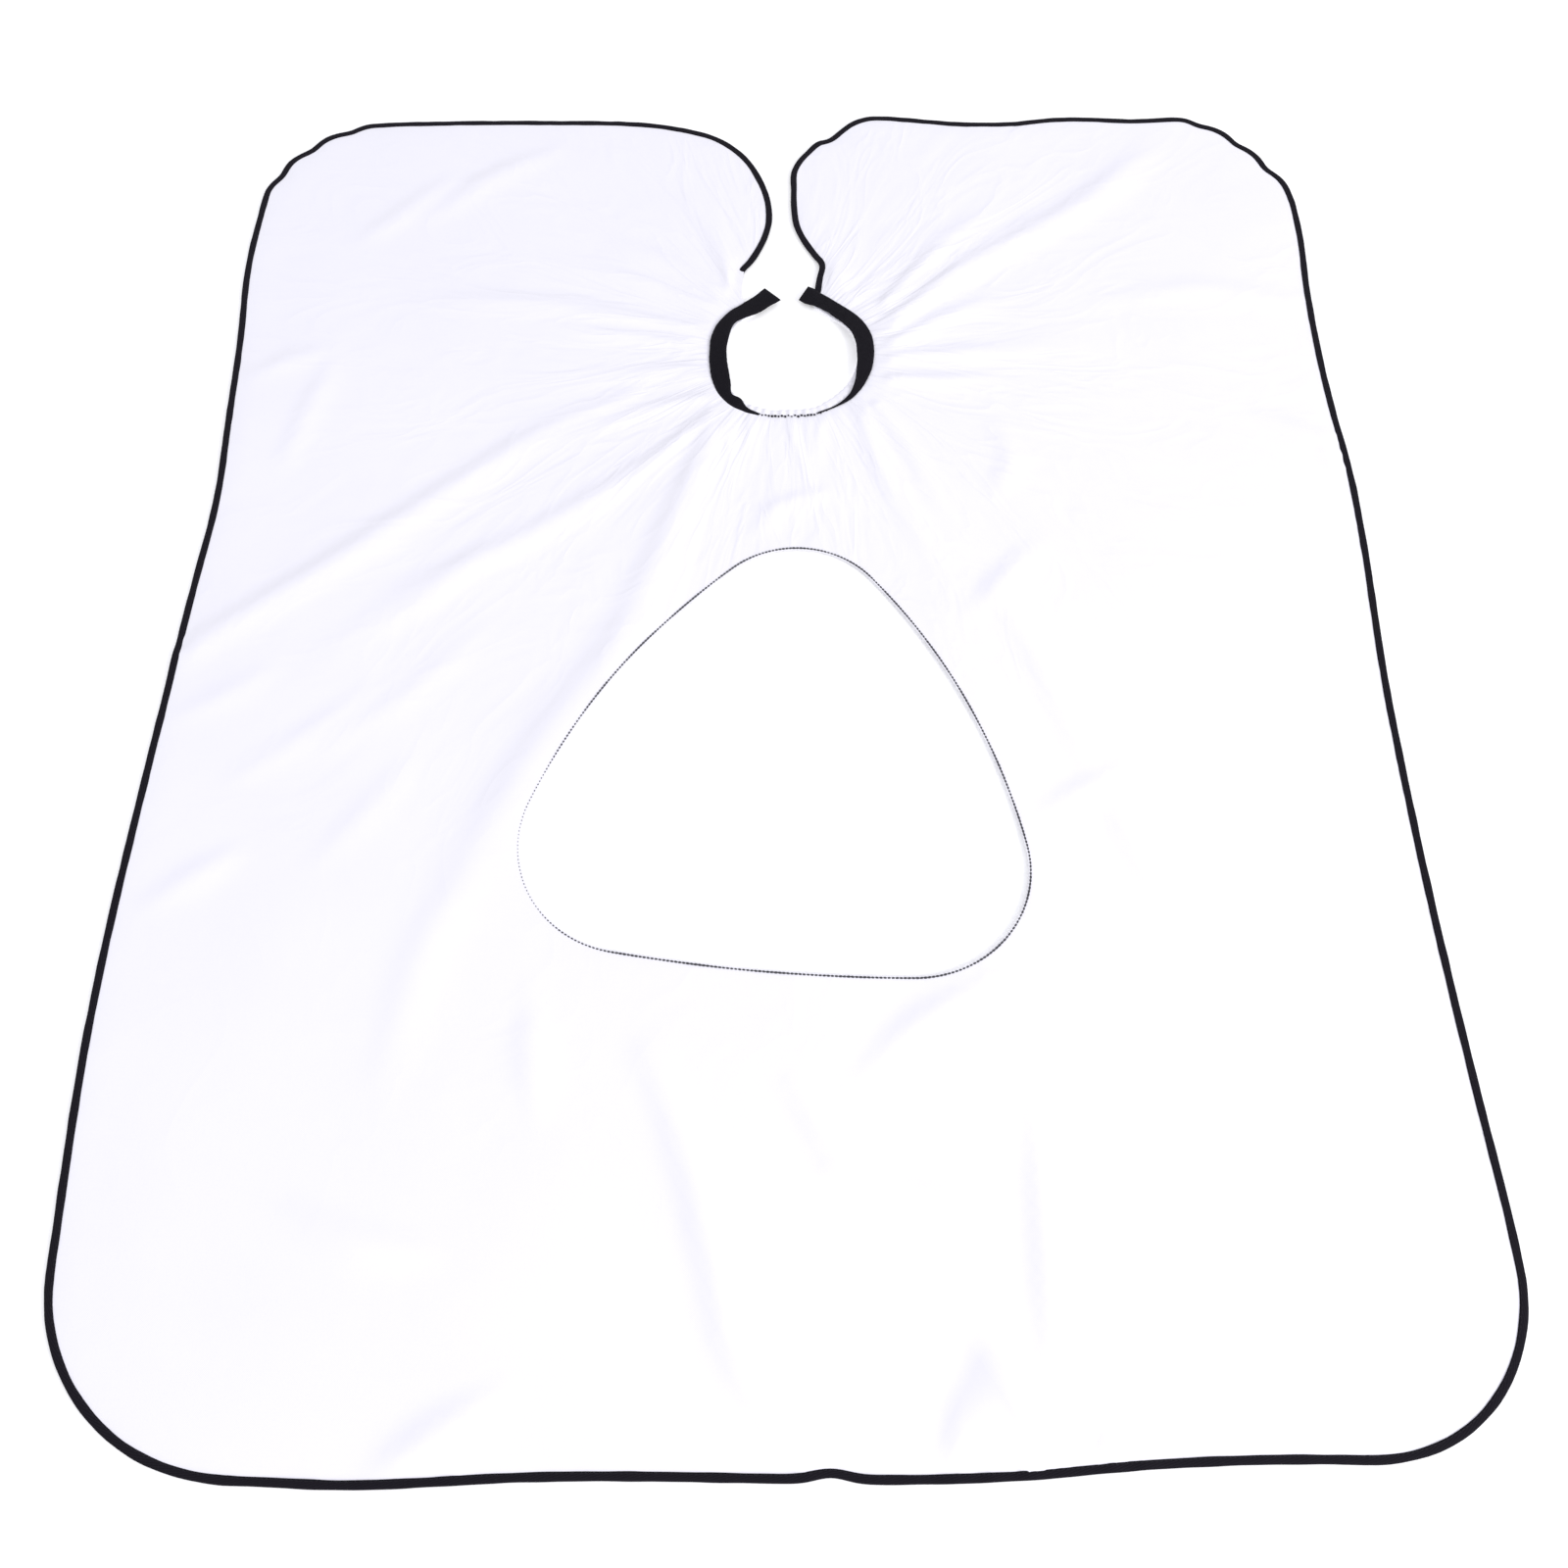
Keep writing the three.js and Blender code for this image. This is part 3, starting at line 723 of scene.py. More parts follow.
def swept(name, middle, across, up, wide, high, material, wall=None):
    """A strip along a line, from its section's places across and up at each point. With a wall it is hollow."""
    count, ring = wide.shape
    outer = middle[:, None, :] + across[:, None, :] * wide[:, :, None] + up[:, None, :] * high[:, :, None]
    shells = [outer]
    if wall:
        half_wide = np.abs(wide).max(1, keepdims=True)
        half_high = np.abs(high).max(1, keepdims=True)
        thin_wide, thin_high = wide * (1 - wall / half_wide), high * (1 - wall / half_high)
        inner = across[:, None, :] * thin_wide[:, :, None] + up[:, None, :] * thin_high[:, :, None]
        shells.append(middle[:, None, :] + inner)
    along = travelled(middle)
    section = np.column_stack([wide[count // 2], high[count // 2]])
    round_it = travelled(np.vstack([section, section[:1]]))
    vertices = np.vstack([shell.reshape(-1, 3) for shell in shells])
    faces, places = [], []
    for layer, shell in enumerate(shells):
        base = layer * count * ring
        for i in range(count - 1):
            for j in range(ring):
                k = (j + 1) % ring
                here, ahead = base + i * ring, base + (i + 1) * ring
                quad = [here + j, ahead + j, ahead + k, here + k]
                spots = [(along[i], round_it[j]), (along[i + 1], round_it[j])]
                spots += [(along[i + 1], round_it[j + 1]), (along[i], round_it[j + 1])]
                if layer:
                    quad, spots = quad[::-1], spots[::-1]
                faces.append(quad)
                places += spots
    for i, flip in ((0, False), (count - 1, True)):
        if wall:
            for j in range(ring):
                k = (j + 1) % ring
                quad = [i * ring + j, i * ring + k, (count + i) * ring + k, (count + i) * ring + j]
                faces.append(quad[::-1] if flip else quad)
                places += [(along[i], round_it[j])] * 4
        else:
            end = [i * ring + j for j in range(ring)]
            faces.append(end[::-1] if flip else end)
            places += [(along[i], round_it[j]) for j in range(ring)]
    mesh = bpy.data.meshes.new(name)
    mesh.from_pydata(vertices.tolist(), [], faces)
    mesh.uv_layers.new(name="UVMap").data.foreach_set("uv", np.array(places, np.float32).ravel())
    mesh.update()
    turned_out(mesh)
    return link(name, mesh, material)


def turned_out(mesh):
    """Faces the whole closed mesh outwards if it was made inside out."""
    corners = np.array([v.co for v in mesh.vertices])
    volume = 0.0
    for face in mesh.polygons:
        first = corners[face.vertices[0]]
        for k in range(1, len(face.vertices) - 1):
            volume += first @ np.cross(corners[face.vertices[k]], corners[face.vertices[k + 1]])
    if volume < 0:
        mesh.flip_normals()


def rounded_section(count, squareness=0.55):
    """A round-cornered section's places across and up, each from -1 to 1, counterclockwise."""
    angle = 2 * np.pi * (np.arange(count) + 0.5) / count
    wide = np.sign(np.cos(angle)) * np.abs(np.cos(angle)) ** squareness
    high = np.sign(np.sin(angle)) * np.abs(np.sin(angle)) ** squareness
    return wide, high


def flat_frame(line):
    """For a line near the floor: its direction to the left and straight up, at each point."""
    left = leftwards(line)
    across = np.column_stack([left, np.zeros(len(line))])
    up = np.tile([0.0, 0.0, 1.0], (len(line), 1))
    return across, up


def ripple(at, *waves):
    """A sum of sine waves along a line: each a length, an amount and a phase."""
    return sum(amount * np.sin(2 * np.pi * at / length + phase) for length, amount, phase in waves)


# ---- Shader building ----


def add_node(tree, kind, feeds=None, **choices):
    """A node with its choices set. Each feed is a socket to link or a value, by input name or number."""
    made = tree.nodes.new(kind)
    for key, value in choices.items():
        setattr(made, key, value)
    for key, value in (feeds or {}).items():
        if isinstance(value, bpy.types.NodeSocket):
            tree.links.new(value, made.inputs[key])
        else:
            made.inputs[key].default_value = value
    return made


def spaced_names(feeds):
    return {key.replace("_", " "): value for key, value in feeds.items()}


def shader_tree(name, **constants):
    """A new material's tree and its Principled shader, with constant values on the shader's own sockets."""
    material = bpy.data.materials.new(name)
    material.use_nodes = True
    tree = material.node_tree
    tree.nodes.clear()
    shader = add_node(tree, "ShaderNodeBsdfPrincipled", spaced_names(constants))
    add_node(tree, "ShaderNodeOutputMaterial", {"Surface": shader.outputs["BSDF"]})
    return material, tree, shader


def maths(tree, operation, first, second=0.0, third=None):
    feeds = {0: first, 1: second} if third is None else {0: first, 1: second, 2: third}
    return add_node(tree, "ShaderNodeMath", feeds, operation=operation).outputs[0]


def mixed(tree, share, one, other):
    return add_node(tree, "ShaderNodeMix", {0: share, 6: one, 7: other}, data_type="RGBA").outputs[2]


def bumped(tree, height, distance, strength, under=None):
    feeds = {"Height": height, "Distance": distance, "Strength": strength}
    if under is not None:
        feeds["Normal"] = under
    return add_node(tree, "ShaderNodeBump", feeds).outputs[0]


def noise(tree, vector, scale, detail, distortion=0.0):
    feeds = {"Vector": vector, "Scale": scale, "Detail": detail, "Distortion": distortion}
    return add_node(tree, "ShaderNodeTexNoise", feeds).outputs[0]


def solid_colour(colour, share=1.0):
    return (*(share * channel for channel in colour), 1.0)


def flat_place(tree):
    return add_node(tree, "ShaderNodeUVMap", uv_map="UVMap").outputs[0]


def finished(material, tree, shader, colour, rough, surface):
    """Links what a material's colour, roughness and surface vary with, and hands the material back."""
    for label, value in (("Base Color", colour), ("Roughness", rough), ("Normal", surface)):
        tree.links.new(value, shader.inputs[label])
    return material


def new_tree(kind, name, inputs, outputs):
    """A node tree with named sockets, and its input and output nodes. An input is given by its default value,
    or by its socket's type where it has none."""
    tree = bpy.data.node_groups.new(name, kind)
    for label, given in inputs.items():
        bare = isinstance(given, str)
        socket_type = given if bare else DEFAULT_SOCKETS[type(given)]
        socket = tree.interface.new_socket(label, in_out="INPUT", socket_type=socket_type)
        if not bare:
            socket.default_value = given
    for label, socket_type in outputs.items():
        tree.interface.new_socket(label, in_out="OUTPUT", socket_type=socket_type)
    return tree, tree.nodes.new("NodeGroupInput"), tree.nodes.new("NodeGroupOutput")


def new_group(name, inputs, *outputs):
    """A shader node group that takes a vector besides its inputs and puts out numbers."""
    return new_tree("ShaderNodeTree", name, {"Vector": VECTOR, **inputs}, dict.fromkeys(outputs, FLOAT))


def place_group(tree, group, **feeds):
    return add_node(tree, "ShaderNodeGroup", spaced_names(feeds), node_tree=group)


@cache
def plain_weave_group():
    """Threads over and under each other. Height is the surface, Slub a slow change from thread to thread."""
    group, given, result = new_group("Plain weave", {"Pitch": 0.0006, "Skew": 0.0}, "Height", "Slub")
    vector = given.outputs["Vector"]
    split = add_node(group, "ShaderNodeSeparateXYZ", {0: vector})
    skewed = maths(group, "MULTIPLY", split.outputs["X"], given.outputs["Skew"])
    turns = []
    for run in (split.outputs["X"], maths(group, "ADD", split.outputs["Y"], skewed)):
        counted = maths(group, "DIVIDE", run, given.outputs["Pitch"])
        turns.append(maths(group, "SINE", maths(group, "MULTIPLY", counted, math.pi)))
    over = maths(group, "MULTIPLY", *turns)
    group.links.new(maths(group, "MULTIPLY_ADD", over, 0.5, 0.5), result.inputs["Height"])
    slubs = []
    for stretch in ((60.0, 1400.0, 1.0), (1300.0, 50.0, 1.0)):
        mapping = add_node(group, "ShaderNodeMapping", {"Vector": vector, "Scale": stretch})
        slubs.append(noise(group, mapping.outputs[0], 1.0, 2.0))
    slub = maths(group, "MULTIPLY", maths(group, "ADD", *slubs), 0.5)
    group.links.new(slub, result.inputs["Slub"])
    return group


@cache
def mottle_group():
    """Soft patches. Patch changes over a hand's width, Grain over a few millimetres."""
    group, given, result = new_group("Mottle", {"Patch Scale": 9.0, "Grain Scale": 320.0}, "Patch", "Grain")
    for label, detail in (("Patch", 3.0), ("Grain", 2.0)):
        patches = noise(group, given.outputs["Vector"], given.outputs[f"{label} Scale"], detail)
        group.links.new(patches, result.inputs[label])
    return group


@cache
def fine_creases_group():
    """Small creases that fan out from a centre and die away from it. Height is from 0 to 1."""
    group, given, result = new_group("Fine creases", {"Centre": (0.0, 0.0, 0.0), "Reach": 0.4}, "Height")
    feeds = {0: given.outputs["Vector"], 1: given.outputs["Centre"]}
    ray = add_node(group, "ShaderNodeVectorMath", feeds, operation="SUBTRACT").outputs[0]
    split = add_node(group, "ShaderNodeSeparateXYZ", {0: ray})
    angle = maths(group, "ARCTAN2", split.outputs["Y"], split.outputs["X"])
    away = add_node(group, "ShaderNodeVectorMath", {0: ray}, operation="LENGTH").outputs["Value"]
    feeds = {0: maths(group, "MULTIPLY", angle, 6.5), 1: maths(group, "MULTIPLY", away, 8.0)}
    fanned = add_node(group, "ShaderNodeCombineXYZ", feeds)
    wander = noise(group, fanned.outputs[0], 1.0, 2.5, 1.3)
    centred = maths(group, "ABSOLUTE", maths(group, "SUBTRACT", wander, 0.5))
    ridge = maths(group, "SUBTRACT", 1.0, maths(group, "MULTIPLY", centred, 4.0))
    sharp = maths(group, "POWER", maths(group, "MAXIMUM", ridge, 0.0), 1.6)
    reaches = maths(group, "DIVIDE", away, given.outputs["Reach"])
    nearness = maths(group, "EXPONENT", maths(group, "MULTIPLY", reaches, -1.0))
    group.links.new(maths(group, "MULTIPLY", sharp, nearness), result.inputs["Height"])
    return group


@cache
def lint_group():
    """Sparse pale fibres and worn spots, from 0 to 1."""
    group, given, result = new_group("Lint", {"Scale": 900.0, "Amount": 0.2}, "Mask")
    fibres = noise(group, given.outputs["Vector"], given.outputs["Scale"], 3.0, 1.4)
    spread = maths(group, "MULTIPLY", maths(group, "POWER", fibres, 7.0), 14.0)
    shown = maths(group, "MINIMUM", maths(group, "MULTIPLY", spread, given.outputs["Amount"]), 1.0)
    group.links.new(shown, result.inputs["Mask"])
    return group


@cache
def cloth_material():
    given = settings().cloth
    made = shader_tree("cape_cloth", Sheen_Weight=0.12, Sheen_Roughness=0.45, Specular_IOR_Level=0.22)
    tree = made[1]
    flat = flat_place(tree)
    weave = place_group(tree, plain_weave_group(), Vector=flat, Pitch=given.weave_pitch)
    mottle = place_group(tree, mottle_group(), Vector=flat, Patch_Scale=7.0, Grain_Scale=260.0)
    slub = mixed(tree, weave.outputs["Slub"], solid_colour(given.shade), solid_colour(given.colour))
    colour = mixed(tree, mottle.outputs["Patch"], slub, solid_colour(given.colour))
    rough = maths(tree, "MULTIPLY_ADD", mottle.outputs["Grain"], 0.18, 0.60)
    creases = place_group(tree, fine_creases_group(), Vector=flat, Centre=(NECK[0], NECK[1], 0.0), Reach=0.42)
    creased = bumped(tree, creases.outputs["Height"], 0.0030, 0.30)
    pucker = bumped(tree, mottle.outputs["Patch"], 0.0012, 0.35, under=creased)
    surface = bumped(tree, weave.outputs["Height"], 0.00006, 0.5, under=pucker)
    return finished(*made, colour, rough, surface)


def dark_fabric(name, colour, pitch, skew, sheen, lint):
    """Dyed black woven tape with a little lint on it, with painted highlight on the raised threads and painted
    shade in the hollows between them.
    """
    made = shader_tree(name, Sheen_Weight=sheen, Sheen_Roughness=0.4, Specular_IOR_Level=0.11)
    tree = made[1]
    flat = flat_place(tree)
    weave = place_group(tree, plain_weave_group(), Vector=flat, Pitch=pitch, Skew=skew)
    spots = place_group(tree, lint_group(), Vector=flat, Scale=700.0, Amount=lint)
    # Painted light: the weave's height makes the raised threads lighter (painted highlight) and the hollows
    # between them darker (painted shade).
    pale = solid_colour([1.9 * channel + 0.002 for channel in colour])
    woven = mixed(tree, weave.outputs["Height"], solid_colour(colour, 0.6), pale)
    dusty = mixed(tree, spots.outputs["Mask"], woven, (0.06, 0.058, 0.066, 1.0))
    rough = maths(tree, "MULTIPLY_ADD", weave.outputs["Slub"], 0.2, 0.66)
    return finished(*made, dusty, rough, bumped(tree, weave.outputs["Height"], 0.00012, 0.8))


@cache
def binding_material():
    return dark_fabric("edge_binding_tape", settings().trim.binding_colour, 0.0008, 0.7, 0.012, 0.05)


@cache
def closure_material():
    return dark_fabric("closure_tape", settings().trim.tape_colour, 0.0011, 0.0, 0.008, 0.07)


def thread_material(name, colour, twist=1500.0):
    """Twisted thread: a fine ripple with a little change of shade from stitch to stitch."""
    made = shader_tree(name, Sheen_Weight=0.02, Sheen_Roughness=0.35, Specular_IOR_Level=0.2)
    tree = made[1]
    spot = add_node(tree, "ShaderNodeTexCoord").outputs["Object"]
    mottle = place_group(tree, mottle_group(), Vector=spot, Patch_Scale=260.0, Grain_Scale=twist)
    shade = mixed(tree, mottle.outputs["Patch"], solid_colour(colour, 0.65), solid_colour(colour, 1.35))
    rough = maths(tree, "MULTIPLY_ADD", mottle.outputs["Grain"], 0.25, 0.5)
    return finished(*made, shade, rough, bumped(tree, mottle.outputs["Grain"], 0.00015, 0.7))


@cache
def dark_thread_material():
    return thread_material("dark_thread", (0.0095, 0.0085, 0.013))


@cache
def seam_thread_material():
    return thread_material("seam_thread", settings().trim.seam_colour)


@cache
def neck_thread_material():
    return thread_material("neck_seam_thread", (0.020, 0.019, 0.024))


@cache
def pile_material():
    return thread_material("pile_nylon", (0.0075, 0.0065, 0.0095), twist=2400.0)


@cache
def elastic_material():
    made = shader_tree("ribbed_elastic", Specular_IOR_Level=0.3, Sheen_Weight=0.1)
    tree = made[1]
    weave = place_group(tree, plain_weave_group(), Vector=flat_place(tree), Pitch=0.0009)
    # Painted shade: the elastic is darkened in the hollows between its threads, following the weave's height;
    # the raised threads keep its white.
    colour = mixed(tree, weave.outputs["Height"], (0.62, 0.62, 0.65, 1.0), (0.88, 0.88, 0.9, 1.0))
    rough = maths(tree, "MULTIPLY_ADD", weave.outputs["Slub"], 0.2, 0.6)
    return finished(*made, colour, rough, bumped(tree, weave.outputs["Height"], 0.0002, 0.8))


@cache
def film_material():
    """Clear soft film: nearly see-through, glossy, with faint ripples and a few handling marks."""
    made = shader_tree("window_film", Specular_IOR_Level=0.5, IOR=1.5)
    tree, shader = made[1:]
    flat = flat_place(tree)
    mottle = place_group(tree, mottle_group(), Vector=flat, Patch_Scale=13.0, Grain_Scale=70.0)
    marks = place_group(tree, lint_group(), Vector=flat, Scale=45.0, Amount=0.5).outputs["Mask"]
    tint = mixed(tree, mottle.outputs["Patch"], (0.93, 0.94, 0.97, 1.0), (0.99, 0.99, 1.0, 1.0))
    tree.links.new(maths(tree, "MULTIPLY_ADD", marks, 0.08, 0.14), shader.inputs["Alpha"])
    rough = maths(tree, "MULTIPLY_ADD", marks, 0.2, 0.07)
    return finished(*made, tint, rough, bumped(tree, mottle.outputs["Patch"], 0.004, 0.3))


# ---- Geometry Nodes that lay out stitches, hooks and loops ----


def finish_tree(tree, given, result, instances):
    """Ends a tree with Realize Instances and Set Material."""
    real = add_node(tree, "GeometryNodeRealizeInstances", {0: instances})
    smooth = add_node(tree, "GeometryNodeSetShadeSmooth", {"Geometry": real.outputs[0], "Shade Smooth": True})
    feeds = {"Geometry": smooth.outputs[0], "Material": given.outputs["Material"]}
    tree.links.new(add_node(tree, "GeometryNodeSetMaterial", feeds).outputs[0], result.inputs[0])


def random_between(tree, low, high, seed, kind="FLOAT"):
    made = add_node(tree, "FunctionNodeRandomValue", {"Seed": seed}, data_type=kind)
    least, most, value = {"FLOAT": (2, 3, 1), "FLOAT_VECTOR": (0, 1, 0)}[kind]
    made.inputs[least].default_value = low
    made.inputs[most].default_value = high
    return made.outputs[value]


@cache
def stitch_tree():
    """A run of stitches along a curve: little rounded bars, end to end, turned and sized a little unevenly."""
    inputs = {
        "Geometry": GEOMETRY, "Pitch": 0.0032, "Length": 0.0026, "Radius": 0.0003,
        "Seed": 1, "Material": MATERIAL,
    }
    tree, given, result = new_tree("GeometryNodeTree", "Stitch run", inputs, {"Geometry": GEOMETRY})
    feeds = {"Curve": given.outputs["Geometry"], "Length": given.outputs["Pitch"]}
    spaced = add_node(tree, "GeometryNodeResampleCurve", feeds, mode="LENGTH")
    points = add_node(tree, "GeometryNodeCurveToPoints", {"Curve": spaced.outputs[0]}, mode="EVALUATED")
    thick = add_node(tree, "GeometryNodeInputRadius")
    feeds = {"Vector": points.outputs["Tangent"]}
    heading = add_node(tree, "FunctionNodeAlignRotationToVector", feeds, axis="X", pivot_axis="Z")
    seed = given.outputs["Seed"]
    wobble = random_between(tree, (-0.03, -0.03, -0.11), (0.03, 0.03, 0.11), seed, "FLOAT_VECTOR")
    turned = add_node(tree, "FunctionNodeRotateRotation", {"Rotation": heading.outputs[0], "Rotate By": wobble})
    bar = add_node(tree, "GeometryNodeMeshUVSphere", {"Segments": 6, "Rings": 4, "Radius": 1.0})
    feeds = {"Geometry": bar.outputs[0], "Rotation": (0.0, math.pi / 2, 0.0)}
    lying = add_node(tree, "GeometryNodeTransform", feeds)
    half, radius = maths(tree, "MULTIPLY", given.outputs["Length"], 0.5), given.outputs["Radius"]
    size = add_node(tree, "ShaderNodeCombineXYZ", {0: half, 1: radius, 2: radius})
    uneven = random_between(tree, 0.92, 1.06, seed)
    share = maths(tree, "MULTIPLY", thick.outputs[0], uneven)
    scaled = add_node(tree, "ShaderNodeVectorMath", {0: size.outputs[0], "Scale": share}, operation="SCALE")
    placed = add_node(tree, "GeometryNodeInstanceOnPoints", {
        "Points": points.outputs[0], "Instance": lying.outputs[0],
        "Rotation": turned.outputs[0], "Scale": scaled.outputs[0],
    })
    finish_tree(tree, given, result, placed.outputs[0])
    return tree


@cache
def pile_tree():
    """A field of small bent wires on a surface: hooks when the bend is open, loops when it comes back down."""
    inputs = {
        "Geometry": GEOMETRY, "Spacing": 0.0014, "Height": 0.0011, "Reach": 0.0007, "Wire": 0.00011,
        "Closed": 0.3, "Tousle": 0.4, "Seed": 1, "Material": MATERIAL,
    }
    tree, given, result = new_tree("GeometryNodeTree", "Hook and loop pile", inputs, {"Geometry": GEOMETRY})
    spots = add_node(tree, "GeometryNodeDistributePointsOnFaces", {
        "Mesh": given.outputs["Geometry"], "Distance Min": given.outputs["Spacing"],
        "Density Max": 900000.0, "Seed": given.outputs["Seed"],
    }, distribute_method="POISSON")
    up = add_node(tree, "ShaderNodeCombineXYZ", {2: given.outputs["Height"]})
    over = add_node(tree, "ShaderNodeCombineXYZ", {0: given.outputs["Reach"], 2: given.outputs["Height"]})
    drop = maths(tree, "SUBTRACT", 1.0, given.outputs["Closed"])
    low = maths(tree, "MULTIPLY", given.outputs["Height"], drop)
    end = add_node(tree, "ShaderNodeCombineXYZ", {0: given.outputs["Reach"], 2: low})
    wire = add_node(tree, "GeometryNodeCurvePrimitiveBezierSegment", {
        "Resolution": 5, "Start": (0.0, 0.0, 0.0), "Start Handle": up.outputs[0],
        "End Handle": over.outputs[0], "End": end.outputs[0],
    })
    feeds = {"Resolution": 3, "Radius": given.outputs["Wire"]}
    section = add_node(tree, "GeometryNodeCurvePrimitiveCircle", feeds)
    tube = add_node(tree, "GeometryNodeCurveToMesh", {
        "Curve": wire.outputs[0], "Profile Curve": section.outputs[0], "Fill Caps": True,
    })
    seed = given.outputs["Seed"]
    spin = random_between(tree, (-0.25, -0.25, -3.14), (0.25, 0.25, 3.14), seed, "FLOAT_VECTOR")
    feeds = {0: spin, "Scale": given.outputs["Tousle"]}
    loose = add_node(tree, "ShaderNodeVectorMath", feeds, operation="SCALE")
    turned = add_node(tree, "FunctionNodeRotateRotation", {
        "Rotation": spots.outputs["Rotation"], "Rotate By": loose.outputs[0],
    }, rotation_space="LOCAL")
    uneven = random_between(tree, 0.8, 1.12, seed)
    placed = add_node(tree, "GeometryNodeInstanceOnPoints", {
        "Points": spots.outputs["Points"], "Instance": tube.outputs[0],
        "Rotation": turned.outputs[0], "Scale": uneven,
    })
    finish_tree(tree, given, result, placed.outputs[0])
    return tree


def run_nodes(name, source, tree, values):
    """Runs a tree on an object, keeps the result as a plain mesh object, and removes the source."""
    modifier = source.modifiers.new("Layout", "NODES")
    modifier.node_group = tree
    for item in tree.interface.items_tree:
        if item.in_out == "INPUT" and item.name in values:
            modifier[item.identifier] = values[item.name]
    bpy.context.view_layer.update()
    graph = bpy.context.evaluated_depsgraph_get()
    mesh = bpy.data.meshes.new_from_object(source.evaluated_get(graph), depsgraph=graph)
    bpy.data.objects.remove(source)
    if not len(mesh.polygons):
        raise RuntimeError(f"the tree made nothing for {name}")
    mesh.name = name
    if not mesh.materials:
        mesh.materials.append(values["Material"])
    return add_object(name, mesh)


def path_object(name, points, thick=None):
    """A curve through points in metres, with a share of thickness at each."""
    data = bpy.data.curves.new(name, "CURVE")
    data.dimensions = "3D"
    spline = data.splines.new("POLY")
    spline.points.add(len(points) - 1)
    spline.points.foreach_set("co", np.column_stack([points, np.ones(len(points))]).ravel())
    spline.points.foreach_set("radius", np.ones(len(points)) if thick is None else thick)
    return add_object(name, data)


def stitch_run(name, points, material, pitch, length, radius, thick=None, seed=0):
    values = {"Pitch": pitch, "Length": length, "Radius": radius, "Material": material}
    values["Seed"] = settings().trim.seed + seed
    return run_nodes(name, path_object(name + "_path", points, thick), stitch_tree(), values)


# ---- Pieces ----


def binding_line():
    """The middle of the binding, its distance along the edge and how strongly it is squashed under the tuck."""
    line = cape_edge()
    at = travelled(line)
    width = settings().trim.binding_width / MM
    middle = moved_left(line, width / 2)
    tucked = (1 - eased(line[:, 1], TUCK["high"] - 4, TUCK["high"] + 6)) * (at < 90)
    return line, middle, at, tucked


def edge_heights():
    """Height in millimetres of the binding's middle along the edge."""
    _line, middle, at, tucked = binding_line()
    free = edge_lie(middle) + ripple(at, (61, 0.12, 0.4), (23, 0.08, 1.9))
    least = settings().trim.binding_height / MM / 2 + 0.05
    return np.maximum(free, least) * (1 - tucked) + least * 0.78 * tucked


def cloth_outline():
    """The cloth's own edge in millimetres, inside the binding and round the neck, as one closed line."""
    line, _middle, _at, tucked = binding_line()
    bound = moved_left(line, 1.0 - 2.2 * tucked)
    angles = np.linspace(NECKLINE[0][0] - 1.5, NECKLINE[-1][0] + 1.5, 210)
    return np.vstack([bound, neck_circle(angles, 0.4)])


def open_cloth_height(points):
    """Cloth height everywhere: as it lies, but drawn down to the binding's height along the edge."""
    line, _middle, _at, tucked = binding_line()
    heights = edge_heights() + tucked * 2.3
    free = lie(points)
    result = free.copy()
    low, high = line.min(0) + BINDING_REACH * 1.5, line.max(0) - BINDING_REACH * 1.5
    slit = (np.abs(points[:, 0] - SLIT_ZONE["x"]) < SLIT_ZONE["half"]) & (points[:, 1] > SLIT_ZONE["from"])
    close = np.any((points < low) | (points > high), axis=1) | slit
    corner = np.array([SIDE, BACK]) / MM - CORNER_ZONE["inset"]
    close |= distance(np.abs(points), *corner) > CORNER_ZONE["beyond"]
    chosen = np.flatnonzero(close)
    for start in range(0, len(chosen), 1500):
        part = chosen[start : start + 1500]
        square = ((points[part][:, None, :] - line[None]) ** 2).sum(2)
        nearest = np.argmin(square, axis=1)
        away = np.sqrt(square[np.arange(len(part)), nearest])
        share = 1 - eased(away, BINDING_HOLD, BINDING_REACH)
        result[part] = result[part] * (1 - share) + heights[nearest] * share
    return result


def add_cloth():
    given = settings().cloth
    outline = cloth_outline()
    hole = window_edge(4.0)[:-1]
    zones = (*NECK_RINGS, (given.mesh_spacing / MM, NECK_RINGS[-1][2], BEYOND))
    points, triangles = flat_mesh(outline, hole, zones)
    heights = open_cloth_height(points)
    cloth = thin_sheet("cape_cloth", points, triangles, heights, given.thickness, cloth_material())
    bend_with_skirt(cloth)
    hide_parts("cape_panel_upper", "cape_panel_lower")
    return cloth, points, triangles


def bend_with_skirt(piece):
    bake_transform(piece)


def add_binding():
    given = settings().trim
    _line, middle, at, tucked = binding_line()
    heights = edge_heights()
    wide, high = rounded_section(14)
    gathered = np.zeros(len(at))
    for x, y, reach, _length, _depth in SCALLOPS:
        gathered += np.exp(-(distance(middle, x, y) / reach) ** 2)
    swell = 1 + ripple(at, (17, 0.035, 0.3), (41, 0.03, 1.1), (7.4, 0.02, 2.0))
    swell += 0.05 * gathered * np.sin(at / 2.6)
    broad = given.binding_width / 2 * (1 + ripple(at, (53, 0.03, 0.7), (29, 0.02, 2.3)))
    tall = given.binding_height / 2 * swell * (1 - 0.3 * tucked)
    ends = 1 - 0.35 * np.exp(-at / 2.0)
    centre = np.column_stack([middle * MM, heights * MM])
    across, up = flat_frame(middle)
    dip = 1 - 0.16 * np.exp(-(((wide + 0.60) / 0.18) ** 2))
    rows = np.maximum(high, 0) * dip + np.minimum(high, 0)
    binding = swept(
        "edge_binding", centre, across, up, -wide[None] * (broad * ends)[:, None],
        rows[None] * (tall * ends)[:, None], binding_material(),
    )
    bend_with_skirt(binding)
    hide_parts("edge_binding_left", "edge_binding_right", "edge_binding_lower")
    return binding


